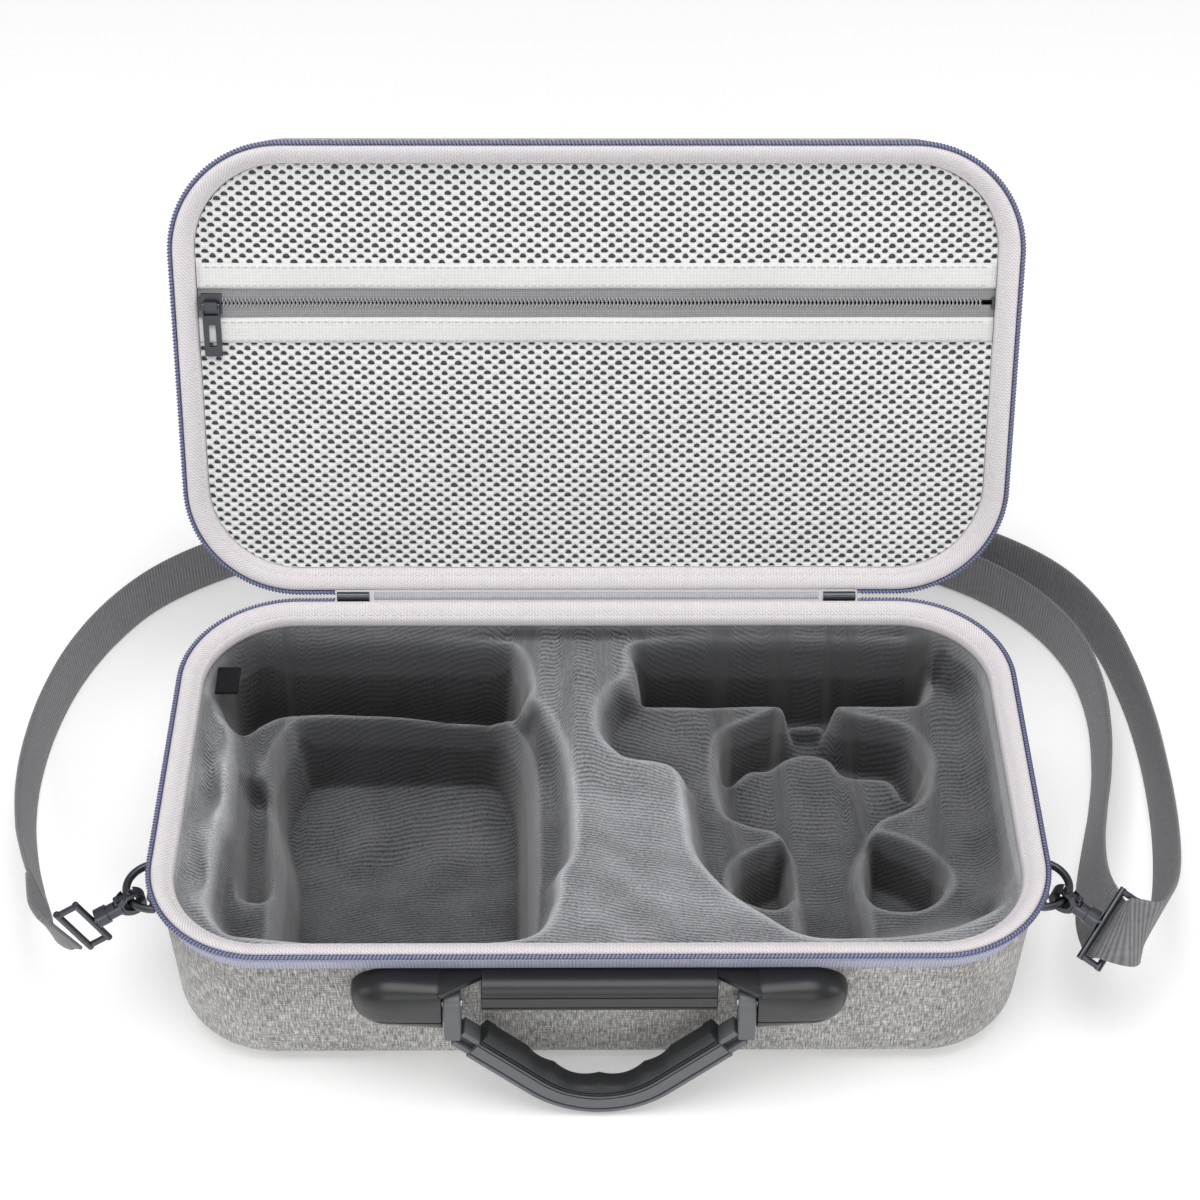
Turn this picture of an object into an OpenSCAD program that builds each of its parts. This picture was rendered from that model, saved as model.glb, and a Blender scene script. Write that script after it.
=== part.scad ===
// Rigid zip carrying case with a moulded insert, a mesh lid pocket, a folding
// handle and a shoulder strap. Origin: centre of the base's underside, on the
// table. +X right, +Y towards the hinge, +Z up. The lid stands open.

/* [Case] */
// Width over the zip, at the rim
case_w = 330; // [280:1:400]
// Depth over the zip, front to back
case_d = 186; // [160:1:240]
// Corner radius of the rim
corner_r = 45; // [38:1:56]
// Height of the plane where base and lid meet
base_h = 72; // [60:1:100]
// Height of the lid above that plane
lid_h = 40; // [32:1:70]
// Angle at which the lid stands open
lid_open = 110; // [0:1:180]
// Thickness of the moulded shells
wall = 4; // [3:0.5:6]
// How far the shell sits inside the zip at the rim
rim_inset = 4.2; // [4:0.1:6]
// Lean of the side walls in degrees
taper = 2.4; // [1:0.2:4]
// Radius of the bottom and top edges
edge_r = 14; // [9:1:20]

/* [Rim] */
// Width of the webbing binding seen from above
binding_w = 8; // [6:0.5:10]
// Width of the zip tape below the coil
tape_w = 8.6; // [6:0.2:12]
// Radius of the zip coil
coil_r = 1; // [0.7:0.1:1.4]
// Half length of the fabric hinge along the back
hinge_half = 90; // [60:1:110]

/* [Insert] */
// Depth of the insert's top below the rim
insert_drop = 12; // [10:1:16]
// Depth of the ledges below the insert's top
ledge_drop = 15; // [8:1:20]
// Height of the flyer bay's floor above the table
bay_z = 30; // [24:1:36]
// Height of the deep wells above the table
well_z = 19; // [14:1:22]
// Height of the controller bay's floor above the table
floor_z = 12; // [11:0.5:16]

/* [Lid pocket] */
// Depth of the mesh below the lid's rim
pocket_drop = 6; // [4:0.5:9]
// Thickness of the spacer mesh
mesh_t = 2.4; // [1.5:0.1:4]
// Width of each plain strip beside the pocket zip
strip_w = 10; // [7:0.5:14]
// Width of the pocket zip
pocket_zip_w = 12; // [9:0.5:16]
// Distance of the pocket zip from the hinge
pocket_zip_s = 121; // [80:1:135]

/* [Handle] */
// Length of the handle's housing
housing_l = 178; // [150:1:200]
// Height of the housing
housing_h = 22; // [18:1:26]
// How far the end caps stand out
cap_t = 13; // [11:0.5:16]
// Length of each end cap
cap_l = 33; // [26:1:40]
// Length of the centre bar
bar_l = 84; // [70:1:90]
// How far the centre bar stands out
bar_t = 10; // [8:0.5:12]
// Depth of the housing's centre line below the rim
housing_drop = 22.5; // [22:0.5:26]
// Distance from the pivot to the grip's outer edge
bail_r = 50; // [44:0.5:56]
// Width of the grip in the bail's plane
grip_w = 13; // [10:0.5:16]
// Thickness of the bail
bail_t = 9; // [7:0.5:10]
// Angle at which the bail leans out of the vertical
bail_out = 9.5; // [2:0.5:90]
// Radius of the pivot pins
pin_r = 1.5; // [1.2:0.1:2]
// Radial clearance of pins and bars in their bores
fit = 0.05; // [0.02:0.01:0.1]

/* [Strap fittings] */
// Position of the D-rings forward of the middle
ring_y = 44; // [20:1:60]
// Depth of the D-rings below the rim
ring_drop = 19; // [17:1:24]
// Radius of the D-ring's bow
ring_bow = 11; // [10:0.5:16]
// Radius of the D-ring's wire
ring_wire = 1.5; // [1.2:0.1:2]
// Turn of the right hook forwards
right_yaw = -29; // [-50:1:-10]
// Turn of the left hook forwards
left_yaw = -20; // [-50:1:-10]
// Droop of the hooks
hook_pitch = 19; // [5:1:30]
// Roll of the strap ring about the hook
hook_roll = 31; // [0:1:45]
left_roll = 100; // [90:1:110]
// Width of the strap
strap_w = 25; // [20:1:30]
// Thickness of the strap
strap_t = 1.6; // [1.2:0.1:2]

/* [Hidden] */
$fn = 48;

seg = 8;                                  // steps in each rounded corner
rim_h = 3;                                // shell rim below the meeting plane
half_gap = 0.2;                           // each half's clearance at that plane
cap_in = housing_l / 2 - cap_l;           // inner faces of the end caps
hinge_y = case_d / 2;
plateau_z = base_h - insert_drop;
ledge_z = plateau_z - ledge_drop;
insert_inset = side(base_h - edge_r) + wall + 2.2;
foot_z = floor_z - 3;                     // underside of the insert's body
panel_inset = rim_inset - 2.2 + binding_w + 0.2;
front_drop = max(housing_drop, tape_w + 2.9 + housing_h / 2);
wall_front_y = -(case_d / 2 - side(front_drop));
pivot_y = wall_front_y - 8.3;
pivot_z = base_h - front_drop + 1;
wall_side_x = case_w / 2 - side(ring_drop);
ring_z = base_h - ring_drop;
tab_t = 1.4;
loop_r = ring_wire + 1.4;                 // eye of the ring tab
ring_x = wall_side_x + 3.6;               // axis of the D-ring's bar
grip_split = 5;                           // depth of the soft liner on the grip
bow_a = 40;                               // half angle of the grip's arc
bow_r = 40;                               // outer radius of that arc
boss_w = 6.5;
boss_r = 5;

// ---- outlines and rings ----

// inset of the shell's outside from the zip, at depth h below the rim
function side(h) = rim_inset + h * tan(taper);

function corner(cx, cy, r, a0) =
    [for (k = [0:seg]) [cx + r * cos(a0 + 90 * k / seg), cy + r * sin(a0 + 90 * k / seg)]];

// the rim's rounded rectangle, moved inwards by i
function rim_outline(i) =
    let (x = case_w / 2 - corner_r, y = case_d / 2 - corner_r, r = corner_r - i)
    concat(corner(x, y, r, 0), corner(-x, y, r, 90), corner(-x, -y, r, 180), corner(x, -y, r, 270));

// a solid skin through rings given as [inset, z]; a loop joins the last ring to the first
module rim_skin(rings, loop = false) {
    m = 4 * (seg + 1);
    n = len(rings);
    points = [for (r = rings) for (p = rim_outline(r[0])) [p[0], p[1], r[1]]];
    sides = [for (i = [0:n - (loop ? 1 : 2)]) for (j = [0:m - 1])
        let (a = i * m, b = ((i + 1) % n) * m, k = (j + 1) % m) [a + j, b + j, b + k, a + k]];
    caps = loop ? [] : [[for (j = [0:m - 1]) j], [for (j = [0:m - 1]) n * m - 1 - j]];
    polyhedron(points, concat(sides, caps), convexity = 8);
}

// points [inset, z] round the bottom edge, t inside the outer face
function edge_ring(depth, t, a) =
    [side(depth - edge_r) + edge_r - (edge_r - t) * cos(a), -(depth - edge_r) - (edge_r - t) * sin(a)];

// an open half of the case, its meeting plane at z = 0
module half_shell(depth) {
    outside = [for (a = [90:-15:0]) edge_ring(depth, 0, a)];
    inside = [for (a = [0:15:90]) edge_ring(depth, wall, a)];
    rim = [[side(rim_h), -rim_h], [side(rim_h) + wall, -rim_h]];
    rim_skin(concat(outside, rim, inside));
}

// webbing folded over the shell's rim, from the coil to the inside
module half_binding() {
    x = rim_inset - 2.2;
    inner = side(rim_h) + wall;
    rim_skin([
        [x, -2.3], [x + 0.6, -rim_h + 0.1], [inner + 0.2, -rim_h + 0.1], [inner + 0.6, -7.5],
        [x + binding_w, -7.7], [x + binding_w - 0.5, -3.8], [x + binding_w / 2, -0.9],
        [x + 1.4, -half_gap], [x + 0.3, -0.7]
    ], loop = true);
}

module off_the_hinge(half) {
    difference() {
        children();
        translate([-half, case_d / 2 - rim_inset - 8, -2 * tape_w]) cube([2 * half, 20, 4 * tape_w]);
    }
}

module half_tape() {
    top = -2 * coil_r - 0.5;
    bottom = top - tape_w;
    out = side(-bottom) - 0.1;
    off_the_hinge(hinge_half + 16)
        rim_skin([[0.8, top], [out - 1, bottom], [out, bottom], [1.8, top]], loop = true);
}

module half_coil() {
    off_the_hinge(hinge_half + 16)
        rim_skin([for (a = [0:45:315])
            [coil_r + 0.05 + coil_r * cos(a), -half_gap - coil_r - coil_r * sin(a)]], loop = true);
}

// ---- placement ----

module on_base() { translate([0, 0, base_h]) children(); }

// children are drawn as in a closed lid, hinge edge at y = 0, rim plane at z = 0
module on_lid() {
    translate([0, hinge_y, base_h]) rotate([-lid_open, 0, 0]) children();
}

module lid_half() { on_lid() translate([0, -case_d / 2, 0]) mirror([0, 0, 1]) children(); }

module on_front_wall() {
    translate([0, wall_front_y, base_h - front_drop]) rotate([taper, 0, 0]) children();
}

module on_bail() {
    translate([0, pivot_y, pivot_z]) rotate([-bail_out, 0, 0]) children();
}

module pair() { for (s = [0, 1]) mirror([s, 0, 0]) children(); }

// ---- base ----

module base_shell() {
    color("#8f9092") difference() {
        on_base() half_shell(base_h);
        screw_holes(1.6);
    }
}

module base_rim_binding() { color("#d8d4d6") on_base() half_binding(); }

module base_zipper_tape() { color("#7c82a2") on_base() half_tape(); }

module base_zipper_coil() { color("#3d4159") on_base() half_coil(); }

module hinge_strip() {
    color("#c9cfda") translate([-hinge_half, hinge_y, base_h]) rotate([0, 90, 0])
        cylinder(r = 1.5, h = 2 * hinge_half);
}

// ---- insert ----

// outer limit of the left bay down to its ledge
controller_bay = [
    [-140, 74], [-33, 74], [-30, 64], [-30, 34], [-22, 23], [-13, 21], [-11, -30], [-17, -55],
    [-25, -68], [-118, -68], [-139, -52], [-141, 34]
];
controller_well = [
    [-115, 45], [-50, 46], [-37, 42], [-28, 28], [-26, 8], [-25, -66], [-117, -66], [-121, -22],
    [-125, -4], [-128, 10], [-126, 26], [-121, 39]
];
controller_trench = [[-140, 74], [-33, 74], [-30, 66], [-31, 49], [-119, 51], [-134, 45], [-140, 36]];
side_slot = [[-138, 8], [-131, 4], [-128, -38], [-134, -37]];
// outer limit of the right bay down to its ledge, with the finger notch
flyer_bay = [
    [18, 75], [132, 75], [140, 60], [138, 46], [136, 36], [131, 20], [131, 8], [138, -2], [146, -18],
    [146, -28], [136, -45], [130, -60], [112, -70], [74, -70], [61, -62], [49, -51], [40, -38],
    [36, -27], [34, -5], [33, 7], [27, 14], [14, 16], [10, 18], [3, 29], [3, 39], [7, 52], [14, 56]
];
flyer_trench = [[18, 75], [132, 75], [138, 64], [132, 60], [17, 61]];
flyer_well = [
    [78, 61.5], [66, 50], [52, 42], [49, 36], [48, 8], [50, -1], [60, -6], [68, -8], [73, -15], [76, -30],
    [74, -46], [66, -58], [76, -69], [112, -69], [124, -60], [122, -46], [102, -44], [99, -28],
    [103, -12], [108, -2], [118, 3], [129, 12], [129, 28], [126, 39], [118, 46], [99, 50], [94, 61.5]
];
rotor_well = [
    [78, 61.5], [66, 50], [52, 42], [49, 36], [49, 29], [60, 35], [68, 36], [75, 42], [84, 46], [93, 42],
    [99, 33], [116, 30], [121, 21], [129, 14], [129, 28], [126, 39], [118, 46], [99, 50], [94, 61.5]
];
front_left_well = [[73, -17], [65, -20], [55, -27], [51, -37], [60, -46], [72, -47], [76, -38]];
front_right_well = [[104, -14], [124, -20], [129, -32], [122, -47], [103, -45], [100, -34]];

// the bays follow the case when its size changes
bay_x = case_w / 330;
bay_y = case_d / 186;

module cut_to(z, outline) {
    translate([0, 0, z]) linear_extrude(base_h)
        polygon([for (p = outline) [p[0] * bay_x, p[1] * bay_y]]);
}

module base_insert() {
    color("#6d6e72") difference() {
        union() {
            slab(insert_inset, foot_z, plateau_z);
            slab(side(insert_drop) + wall + 0.3, plateau_z - 2.5, plateau_z);
            slab(side(base_h - edge_r) + edge_r + 0.5, wall, foot_z);
        }
        cut_to(ledge_z, controller_bay);
        cut_to(floor_z, controller_well);
        cut_to(well_z, controller_trench);
        cut_to(ledge_z - 12, side_slot);
        cut_to(ledge_z, flyer_bay);
        cut_to(well_z, flyer_trench);
        cut_to(bay_z, flyer_well);
        cut_to(well_z, rotor_well);
        cut_to(well_z, front_left_well);
        cut_to(well_z, front_right_well);
    }
}

// a straight-sided slab of the rim's outline, moved inwards by i
module slab(i, z0, z1) {
    x = case_w / 2 - corner_r;
    y = case_d / 2 - corner_r;
    r = corner_r - i;
    translate([0, 0, z0]) linear_extrude(z1 - z0) union() {
        square([2 * x + 2 * r, 2 * y], center = true);
        square([2 * x, 2 * y + 2 * r], center = true);
        for (sx = [-1, 1]) for (sy = [-1, 1]) translate([sx * x, sy * y]) circle(r);
    }
}

module insert_tab() {
    color("#17171a") translate([-151 * bay_x, 49 * bay_y, plateau_z]) cube([9, 14, 1.2]);
}

// ---- handle ----

screw_x = [cap_in + 9, cap_in + 23];

module screw_holes(r) {
    on_front_wall() pair() for (x = screw_x)
        translate([x, 12, 0]) rotate([90, 0, 0]) cylinder(r = r, h = 20);
}

module cap_outline() {
    translate([housing_l / 2 - housing_h / 2, 0]) circle(housing_h / 2);
    translate([cap_in, -housing_h / 2]) square([cap_l - housing_h / 2, housing_h]);
}

module handle_housing() {
    color("#1b1c1f") difference() {
        on_front_wall() {
            pair() {
                rotate([90, 0, 0]) linear_extrude(cap_t) cap_outline();
                translate([0, 0, housing_h / 2 - 2]) linear_extrude(2)
                    polygon([[cap_in + 1, 0], [cap_in + 1, -cap_t], [cap_in, -cap_t], [bar_l / 2 - 6, 0]]);
            }
            translate([-bar_l / 2, -bar_t, -0.5]) cube([bar_l, bar_t, housing_h / 2 + 0.5]);
        }
        screw_holes(1.5);
        pair() pivot_rod(pin_r, cap_in + 8.5);
    }
}

// a round bar on the pivot's axis, from the bail's boss out to x
module pivot_rod(r, x) {
    translate([cap_in - boss_w - 0.6, pivot_y, pivot_z]) rotate([0, 90, 0])
        cylinder(r = r, h = x - cap_in + boss_w + 0.6);
}

module handle_pivot_pins() { color("#9a9c9f") pair() pivot_rod(pin_r, cap_in + 8); }

module handle_back_plate() {
    color("#2b2c2f") difference() {
        on_front_wall() translate([-housing_l / 2 + 8, wall + 0.2, -9]) cube([housing_l - 16, 1.6, 14]);
        screw_holes(1.6);
    }
}

module handle_screws() {
    color("#8c8e92") on_front_wall() pair() for (x = screw_x) {
        translate([x, wall + 1.8, 0]) rotate([90, 0, 0]) cylinder(r = 1.5, h = wall + 9);
        translate([x, wall + 2.9, 0]) rotate([90, 0, 0]) cylinder(r = 2.8, h = 1.1);
    }
}

// the bail's outline at offset o inside its outer edge, in x and -z: a bow between two arms
function bail_line(o, arm) =
    let (c = bow_r - bail_r, r = bow_r - o, k = [cos(bow_a), sin(bow_a)], e = [r * k[1], c - r * k[0]])
    concat([[-e[0] - arm * k[0], e[1] + arm * k[1]]],
           [for (i = [-8:8]) let (a = bow_a * i / 8) [r * sin(a), c - r * cos(a)]],
           [e + arm * k]);

module bail_band(o0, o1, arm) {
    inner = bail_line(o1, arm);
    polygon(concat(bail_line(o0, arm), [for (i = [len(inner) - 1:-1:0]) inner[i]]));
}

arm_w = 8;
boss_x = cap_in - 0.3 - boss_w;
arm_l = (cap_in - 0.3 - bow_r * sin(bow_a)) / cos(bow_a);
grip_arm = arm_l * 0.74;

module handle_bail() {
    color("#3a3d41") on_bail() difference() {
        union() {
            translate([0, bail_t / 2, 0]) rotate([90, 0, 0]) linear_extrude(bail_t) union() {
                bail_band(0, grip_w - grip_split, grip_arm);
                bail_band(0, arm_w, arm_l);
                for (x = [-boss_x - boss_w, boss_x]) translate([x, -15]) square([boss_w, 13]);
            }
            pair() translate([boss_x, 0, 0]) rotate([0, 90, 0]) cylinder(r = boss_r, h = boss_w);
        }
        pair() translate([boss_x - 6, 0, 0]) rotate([0, 90, 0]) cylinder(r = pin_r + fit, h = boss_w + 8);
    }
}

// soft inner face with scallops for the fingers
module handle_grip() {
    color("#24262a") on_bail() translate([0, bail_t / 2, 0]) rotate([90, 0, 0]) linear_extrude(bail_t)
        difference() {
            bail_band(grip_w - grip_split, grip_w, grip_arm);
            for (a = [-34:17:34]) translate([0, bow_r - bail_r]) rotate(a)
                translate([0, -bow_r + grip_w + 6.5]) circle(8);
        }
}

// ---- main zip sliders, parked at the ends of the hinge ----

slider_x = hinge_half + 2;
slider_l = 13;
pull_z = base_h - 8;

module zipper_slider() {
    color("#111114") {
        translate([slider_x, hinge_y, base_h]) rotate([0, 90, 0]) cylinder(r = 1.7, h = slider_l);
        difference() {
            translate([slider_x, hinge_y - 1.6, pull_z - 2]) cube([slider_l, 3.2, 9.5]);
            translate([slider_x + 3.7, hinge_y - 2, pull_z - 3]) cube([5.6, 4, 6]);
            translate([slider_x - 1, hinge_y, pull_z]) rotate([0, 90, 0])
                cylinder(r = 0.8 + fit, h = slider_l + 2);
        }
    }
}

module zipper_pull() {
    color("#111114") {
        translate([slider_x + 0.5, hinge_y, pull_z]) rotate([0, 90, 0])
            cylinder(r = 0.8, h = slider_l - 1);
        translate([slider_x + 4.2, hinge_y - 0.8, pull_z - 20]) cube([4.6, 1.6, 20]);
    }
}

module left_zipper_slider() { mirror([1, 0, 0]) zipper_slider(); }
module right_zipper_slider() { zipper_slider(); }
module left_zipper_pull() { mirror([1, 0, 0]) zipper_pull(); }
module right_zipper_pull() { zipper_pull(); }

// ---- lid ----

module lid_shell() { color("#8f9092") lid_half() half_shell(lid_h); }

module lid_rim_binding() { color("#d8d4d6") lid_half() half_binding(); }

module lid_zipper_tape() { color("#7c82a2") lid_half() half_tape(); }

module lid_zipper_coil() { color("#3d4159") lid_half() half_coil(); }

// thin board in the bottom of the lid, behind the pocket
module lid_lining() {
    color("#5e5f63") lid_half() translate([0, 0, -lid_h]) slab(side(lid_h - edge_r) + edge_r, wall, wall + 1.5);
}

// part of the pocket's panel between two distances from the hinge
module pocket_part(s0, s1, z0, z1) {
    lid_half() intersection() {
        slab(panel_inset, -z1, -z0);
        translate([-case_w, case_d / 2 - s1, -lid_h]) cube([2 * case_w, s1 - s0, lid_h]);
    }
}

zip_lo = pocket_zip_s - pocket_zip_w / 2;
zip_hi = pocket_zip_s + pocket_zip_w / 2;

module mesh_panel_lower() {
    color("#e8e8e6") pocket_part(0, zip_lo - strip_w, pocket_drop, pocket_drop + mesh_t);
}

module mesh_panel_upper() {
    color("#e8e8e6") pocket_part(zip_hi + strip_w, case_d, pocket_drop, pocket_drop + mesh_t);
}

module pocket_strip_lower() {
    color("#efefee") pocket_part(zip_lo - strip_w, zip_lo, pocket_drop, pocket_drop + mesh_t);
}

module pocket_strip_upper() {
    color("#efefee") pocket_part(zip_hi, zip_hi + strip_w, pocket_drop, pocket_drop + mesh_t);
}

coil_w = 4;

module pocket_zipper_tape() {
    for (s = [[zip_lo, pocket_zip_s - coil_w / 2], [pocket_zip_s + coil_w / 2, zip_hi]])
        color("#77787b") pocket_part(s[0], s[1], pocket_drop + 0.8, pocket_drop + 1.8);
}

module pocket_zipper_coil() {
    color("#8b8c8f") pocket_part(pocket_zip_s - coil_w / 2, pocket_zip_s + coil_w / 2,
                                 pocket_drop + 0.5, pocket_drop + mesh_t);
}

// metal stops at the coil's two ends
module pocket_zipper_stops() {
    stop_x = case_w / 2 - panel_inset - 1.1;
    color("#6a6b6e") on_lid() pair()
        translate([stop_x, -pocket_zip_s - 2.4, pocket_drop - 0.6]) cube([1, 4.8, 1.1]);
}

slider_w = 8;
slider_home = -(case_w / 2 - panel_inset - 5.3);

module pocket_slider() {
    color("#3f4044") on_lid() translate([slider_home, -pocket_zip_s, pocket_drop]) {
        translate([-4, -slider_w / 2, -1.6]) cube([8, slider_w, 1.9]);
        difference() {
            translate([-2.6, -1.6, -4.6]) cube([5.2, 3.2, 3]);
            translate([-4, 0, -3.1]) rotate([0, 90, 0]) cylinder(r = 0.8 + fit, h = 8);
        }
    }
}

// flat pull, hanging from the slider's eye down the lid
module pocket_pull() {
    color("#55565a") on_lid() translate([slider_home, -pocket_zip_s, pocket_drop - 3.1]) rotate([5, 0, 0]) {
        translate([-3.4, 0, 0]) rotate([0, 90, 0]) cylinder(r = 0.8, h = 6.8);
        for (x = [-3.4, 2.8]) translate([x, 0, -0.7]) cube([0.6, 5, 1.4]);
        difference() {
            translate([-3.4, 4, -0.7]) cube([6.8, 17, 1.4]);
            translate([-1.4, 8, -1]) cube([2.8, 9, 2]);
        }
    }
}

// ---- D-rings, hooks and strap rings ----

module on_side_wall() {
    translate([wall_side_x, -ring_y, ring_z]) rotate([0, taper, 0]) children();
}

module ring_tab() {
    color("#b9babb") difference() {
        union() {
            on_side_wall() translate([0.03, -8, -13]) cube([tab_t, 16, 18]);
            translate([ring_x, -ring_y + 6, ring_z]) rotate([90, 0, 0]) cylinder(r = loop_r, h = 12);
        }
        translate([ring_x, -ring_y + 20, ring_z]) rotate([90, 0, 0])
            cylinder(r = ring_wire + fit, h = 40);
        rivet_shanks(1.2);
    }
}

module rivet_shanks(r) {
    on_side_wall() for (dy = [-4.5, 4.5]) translate([0.03, dy, -9])
        rotate([0, 90, 0]) cylinder(r = r, h = tab_t);
}

module ring_tab_rivets() {
    color("#c2c4c7") pair() {
        rivet_shanks(1.2);
        on_side_wall() for (dy = [-4.5, 4.5]) translate([tab_t + 0.03, dy, -9]) rotate([0, 90, 0])
            cylinder(r = 2.4, h = 0.9);
    }
}

module left_ring_tab() { mirror([1, 0, 0]) ring_tab(); }
module right_ring_tab() { ring_tab(); }

module d_ring() {
    color("#55575b") translate([ring_x, -ring_y, ring_z]) {
        rotate([90, 0, 0]) cylinder(r = ring_wire, h = 2 * ring_bow, center = true);
        difference() {
            rotate_extrude() translate([ring_bow, 0]) circle(ring_wire);
            translate([-3 * ring_bow, -2 * ring_bow, -3]) cube([3 * ring_bow, 4 * ring_bow, 6]);
        }
        for (s = [-1, 1]) translate([0, s * ring_bow, 0]) sphere(ring_wire);
    }
}

module left_d_ring() { mirror([1, 0, 0]) d_ring(); }
module right_d_ring() { d_ring(); }

// the point of the bow that the hook holds
grab_a = -40;

module on_hook(yaw) {
    translate([ring_x + ring_bow * cos(grab_a), -ring_y + ring_bow * sin(grab_a), ring_z])
        rotate([0, 0, yaw]) rotate([0, hook_pitch, 0]) children();
}

// a point on the right-hand hook's axis, at distance x from the bow
function hook_at(x, yaw) = [
    ring_x + ring_bow * cos(grab_a) + x * cos(hook_pitch) * cos(yaw),
    -ring_y + ring_bow * sin(grab_a) + x * cos(hook_pitch) * sin(yaw),
    ring_z - x * sin(hook_pitch)
];

jaw_r = ring_wire + 3.9;
jaw_hole = ring_wire + 1.5;
jaw_t = 4.4;
collar_x = 14;
swivel_r = 1.2;
gate_at = [4.1, 3.4];                     // gate hinge in the hook's x and z

module across(r, h) { rotate([90, 0, 0]) cylinder(r = r, h = h, center = true); }

module hook(yaw) {
    color("#4d4f53") on_hook(yaw) {
        difference() {
            union() {
                across(jaw_r, jaw_t);
                rotate([0, 90, 0]) translate([0, 0, jaw_r - 1.5])
                    cylinder(r = 2.9, h = collar_x - jaw_r + 1.5);
                translate([collar_x - 4.5, 0, 0]) rotate([0, 90, 0]) cylinder(r = 3.6, h = 4.5);
            }
            across(jaw_hole, jaw_t + 1);
            translate([-3, -jaw_t, 1.8]) cube([4.2, 2 * jaw_t, 6]);
            translate([0.4, -1.7, 1.2]) cube([5.8, 3.4, 6]);
            translate([collar_x - 3.2, 0, 0]) rotate([0, 90, 0]) cylinder(r = swivel_r + fit, h = 4);
        }
        translate([gate_at[0], 0, gate_at[1]]) across(0.7, jaw_t - 0.6);
    }
}

module hook_gate(yaw) {
    color("#7b7d81") on_hook(yaw) difference() {
        union() {
            translate([-2.7, -1.4, gate_at[1] - 0.9]) cube([6.5, 2.8, 1.7]);
            translate([gate_at[0], 0, gate_at[1]]) across(1.4, 2.8);
            translate([-1.3, 0, gate_at[1] + 0.5]) cylinder(r = 1.1, h = 2.4);
        }
        translate([gate_at[0], 0, gate_at[1]]) across(0.7 + fit, 6);
    }
}

// rectangular wire ring that turns in the hook's collar
ring_in = collar_x + 2;
ring_out = ring_in + 7.6;
bar_r = 1.3;

module strap_ring(yaw, roll) {
    half = strap_w / 2 + 1.7;
    color("#3c3e42") on_hook(yaw) rotate([roll, 0, 0]) {
        translate([collar_x - 2.9, 0, 0]) rotate([0, 90, 0]) cylinder(r = swivel_r, h = 5);
        for (x = [ring_in, ring_out]) translate([x, 0, 0]) across(bar_r, 2 * half + 2 * bar_r);
        for (s = [-1, 1]) translate([ring_in, s * half, 0]) rotate([0, 90, 0])
            cylinder(r = bar_r - 0.1, h = ring_out - ring_in);
    }
}

module left_hook() { mirror([1, 0, 0]) hook(left_yaw); }
module right_hook() { hook(right_yaw); }
module left_hook_gate() { mirror([1, 0, 0]) hook_gate(left_yaw); }
module right_hook_gate() { hook_gate(right_yaw); }
module left_strap_ring() { mirror([1, 0, 0]) strap_ring(left_yaw, left_roll); }
module right_strap_ring() { strap_ring(right_yaw, hook_roll); }

// ---- shoulder strap ----

// the direction of a strap ring's bars
function bar_dir(yaw, roll) = let (c = cos(roll), k = sin(roll), p = hook_pitch)
    [-c * sin(yaw) + k * sin(p) * cos(yaw), c * cos(yaw) + k * sin(p) * sin(yaw), k * cos(p)];

// a place along the strap, scaled with the case: [centre of the webbing, direction of its width]
function lay(p, w) = [[p[0] * bay_x, p[1] * bay_y, p[2]], w];

mid_r = hook_at((ring_in + ring_out) / 2, right_yaw);
out_l = hook_at(ring_out + bar_r + 2.1, left_yaw);
dir_r = bar_dir(right_yaw, hook_roll);
dir_l = bar_dir(left_yaw, left_roll);

// the sewn end at the left ring
left_end_route = [
    [[-out_l[0], out_l[1], out_l[2]], [-dir_l[0], dir_l[1], dir_l[2]]],
    lay([-200.5, -57.5, 43], [-0.25, -0.22, 0.94]),
    lay([-205.5, -51, 41], [-0.26, -0.1, 0.96]),
    lay([-208.5, -43, 39], [-0.25, 0, 0.97]),
    lay([-210.7, -35, 37.5], [-0.24, 0.08, 0.97])
];

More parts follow.
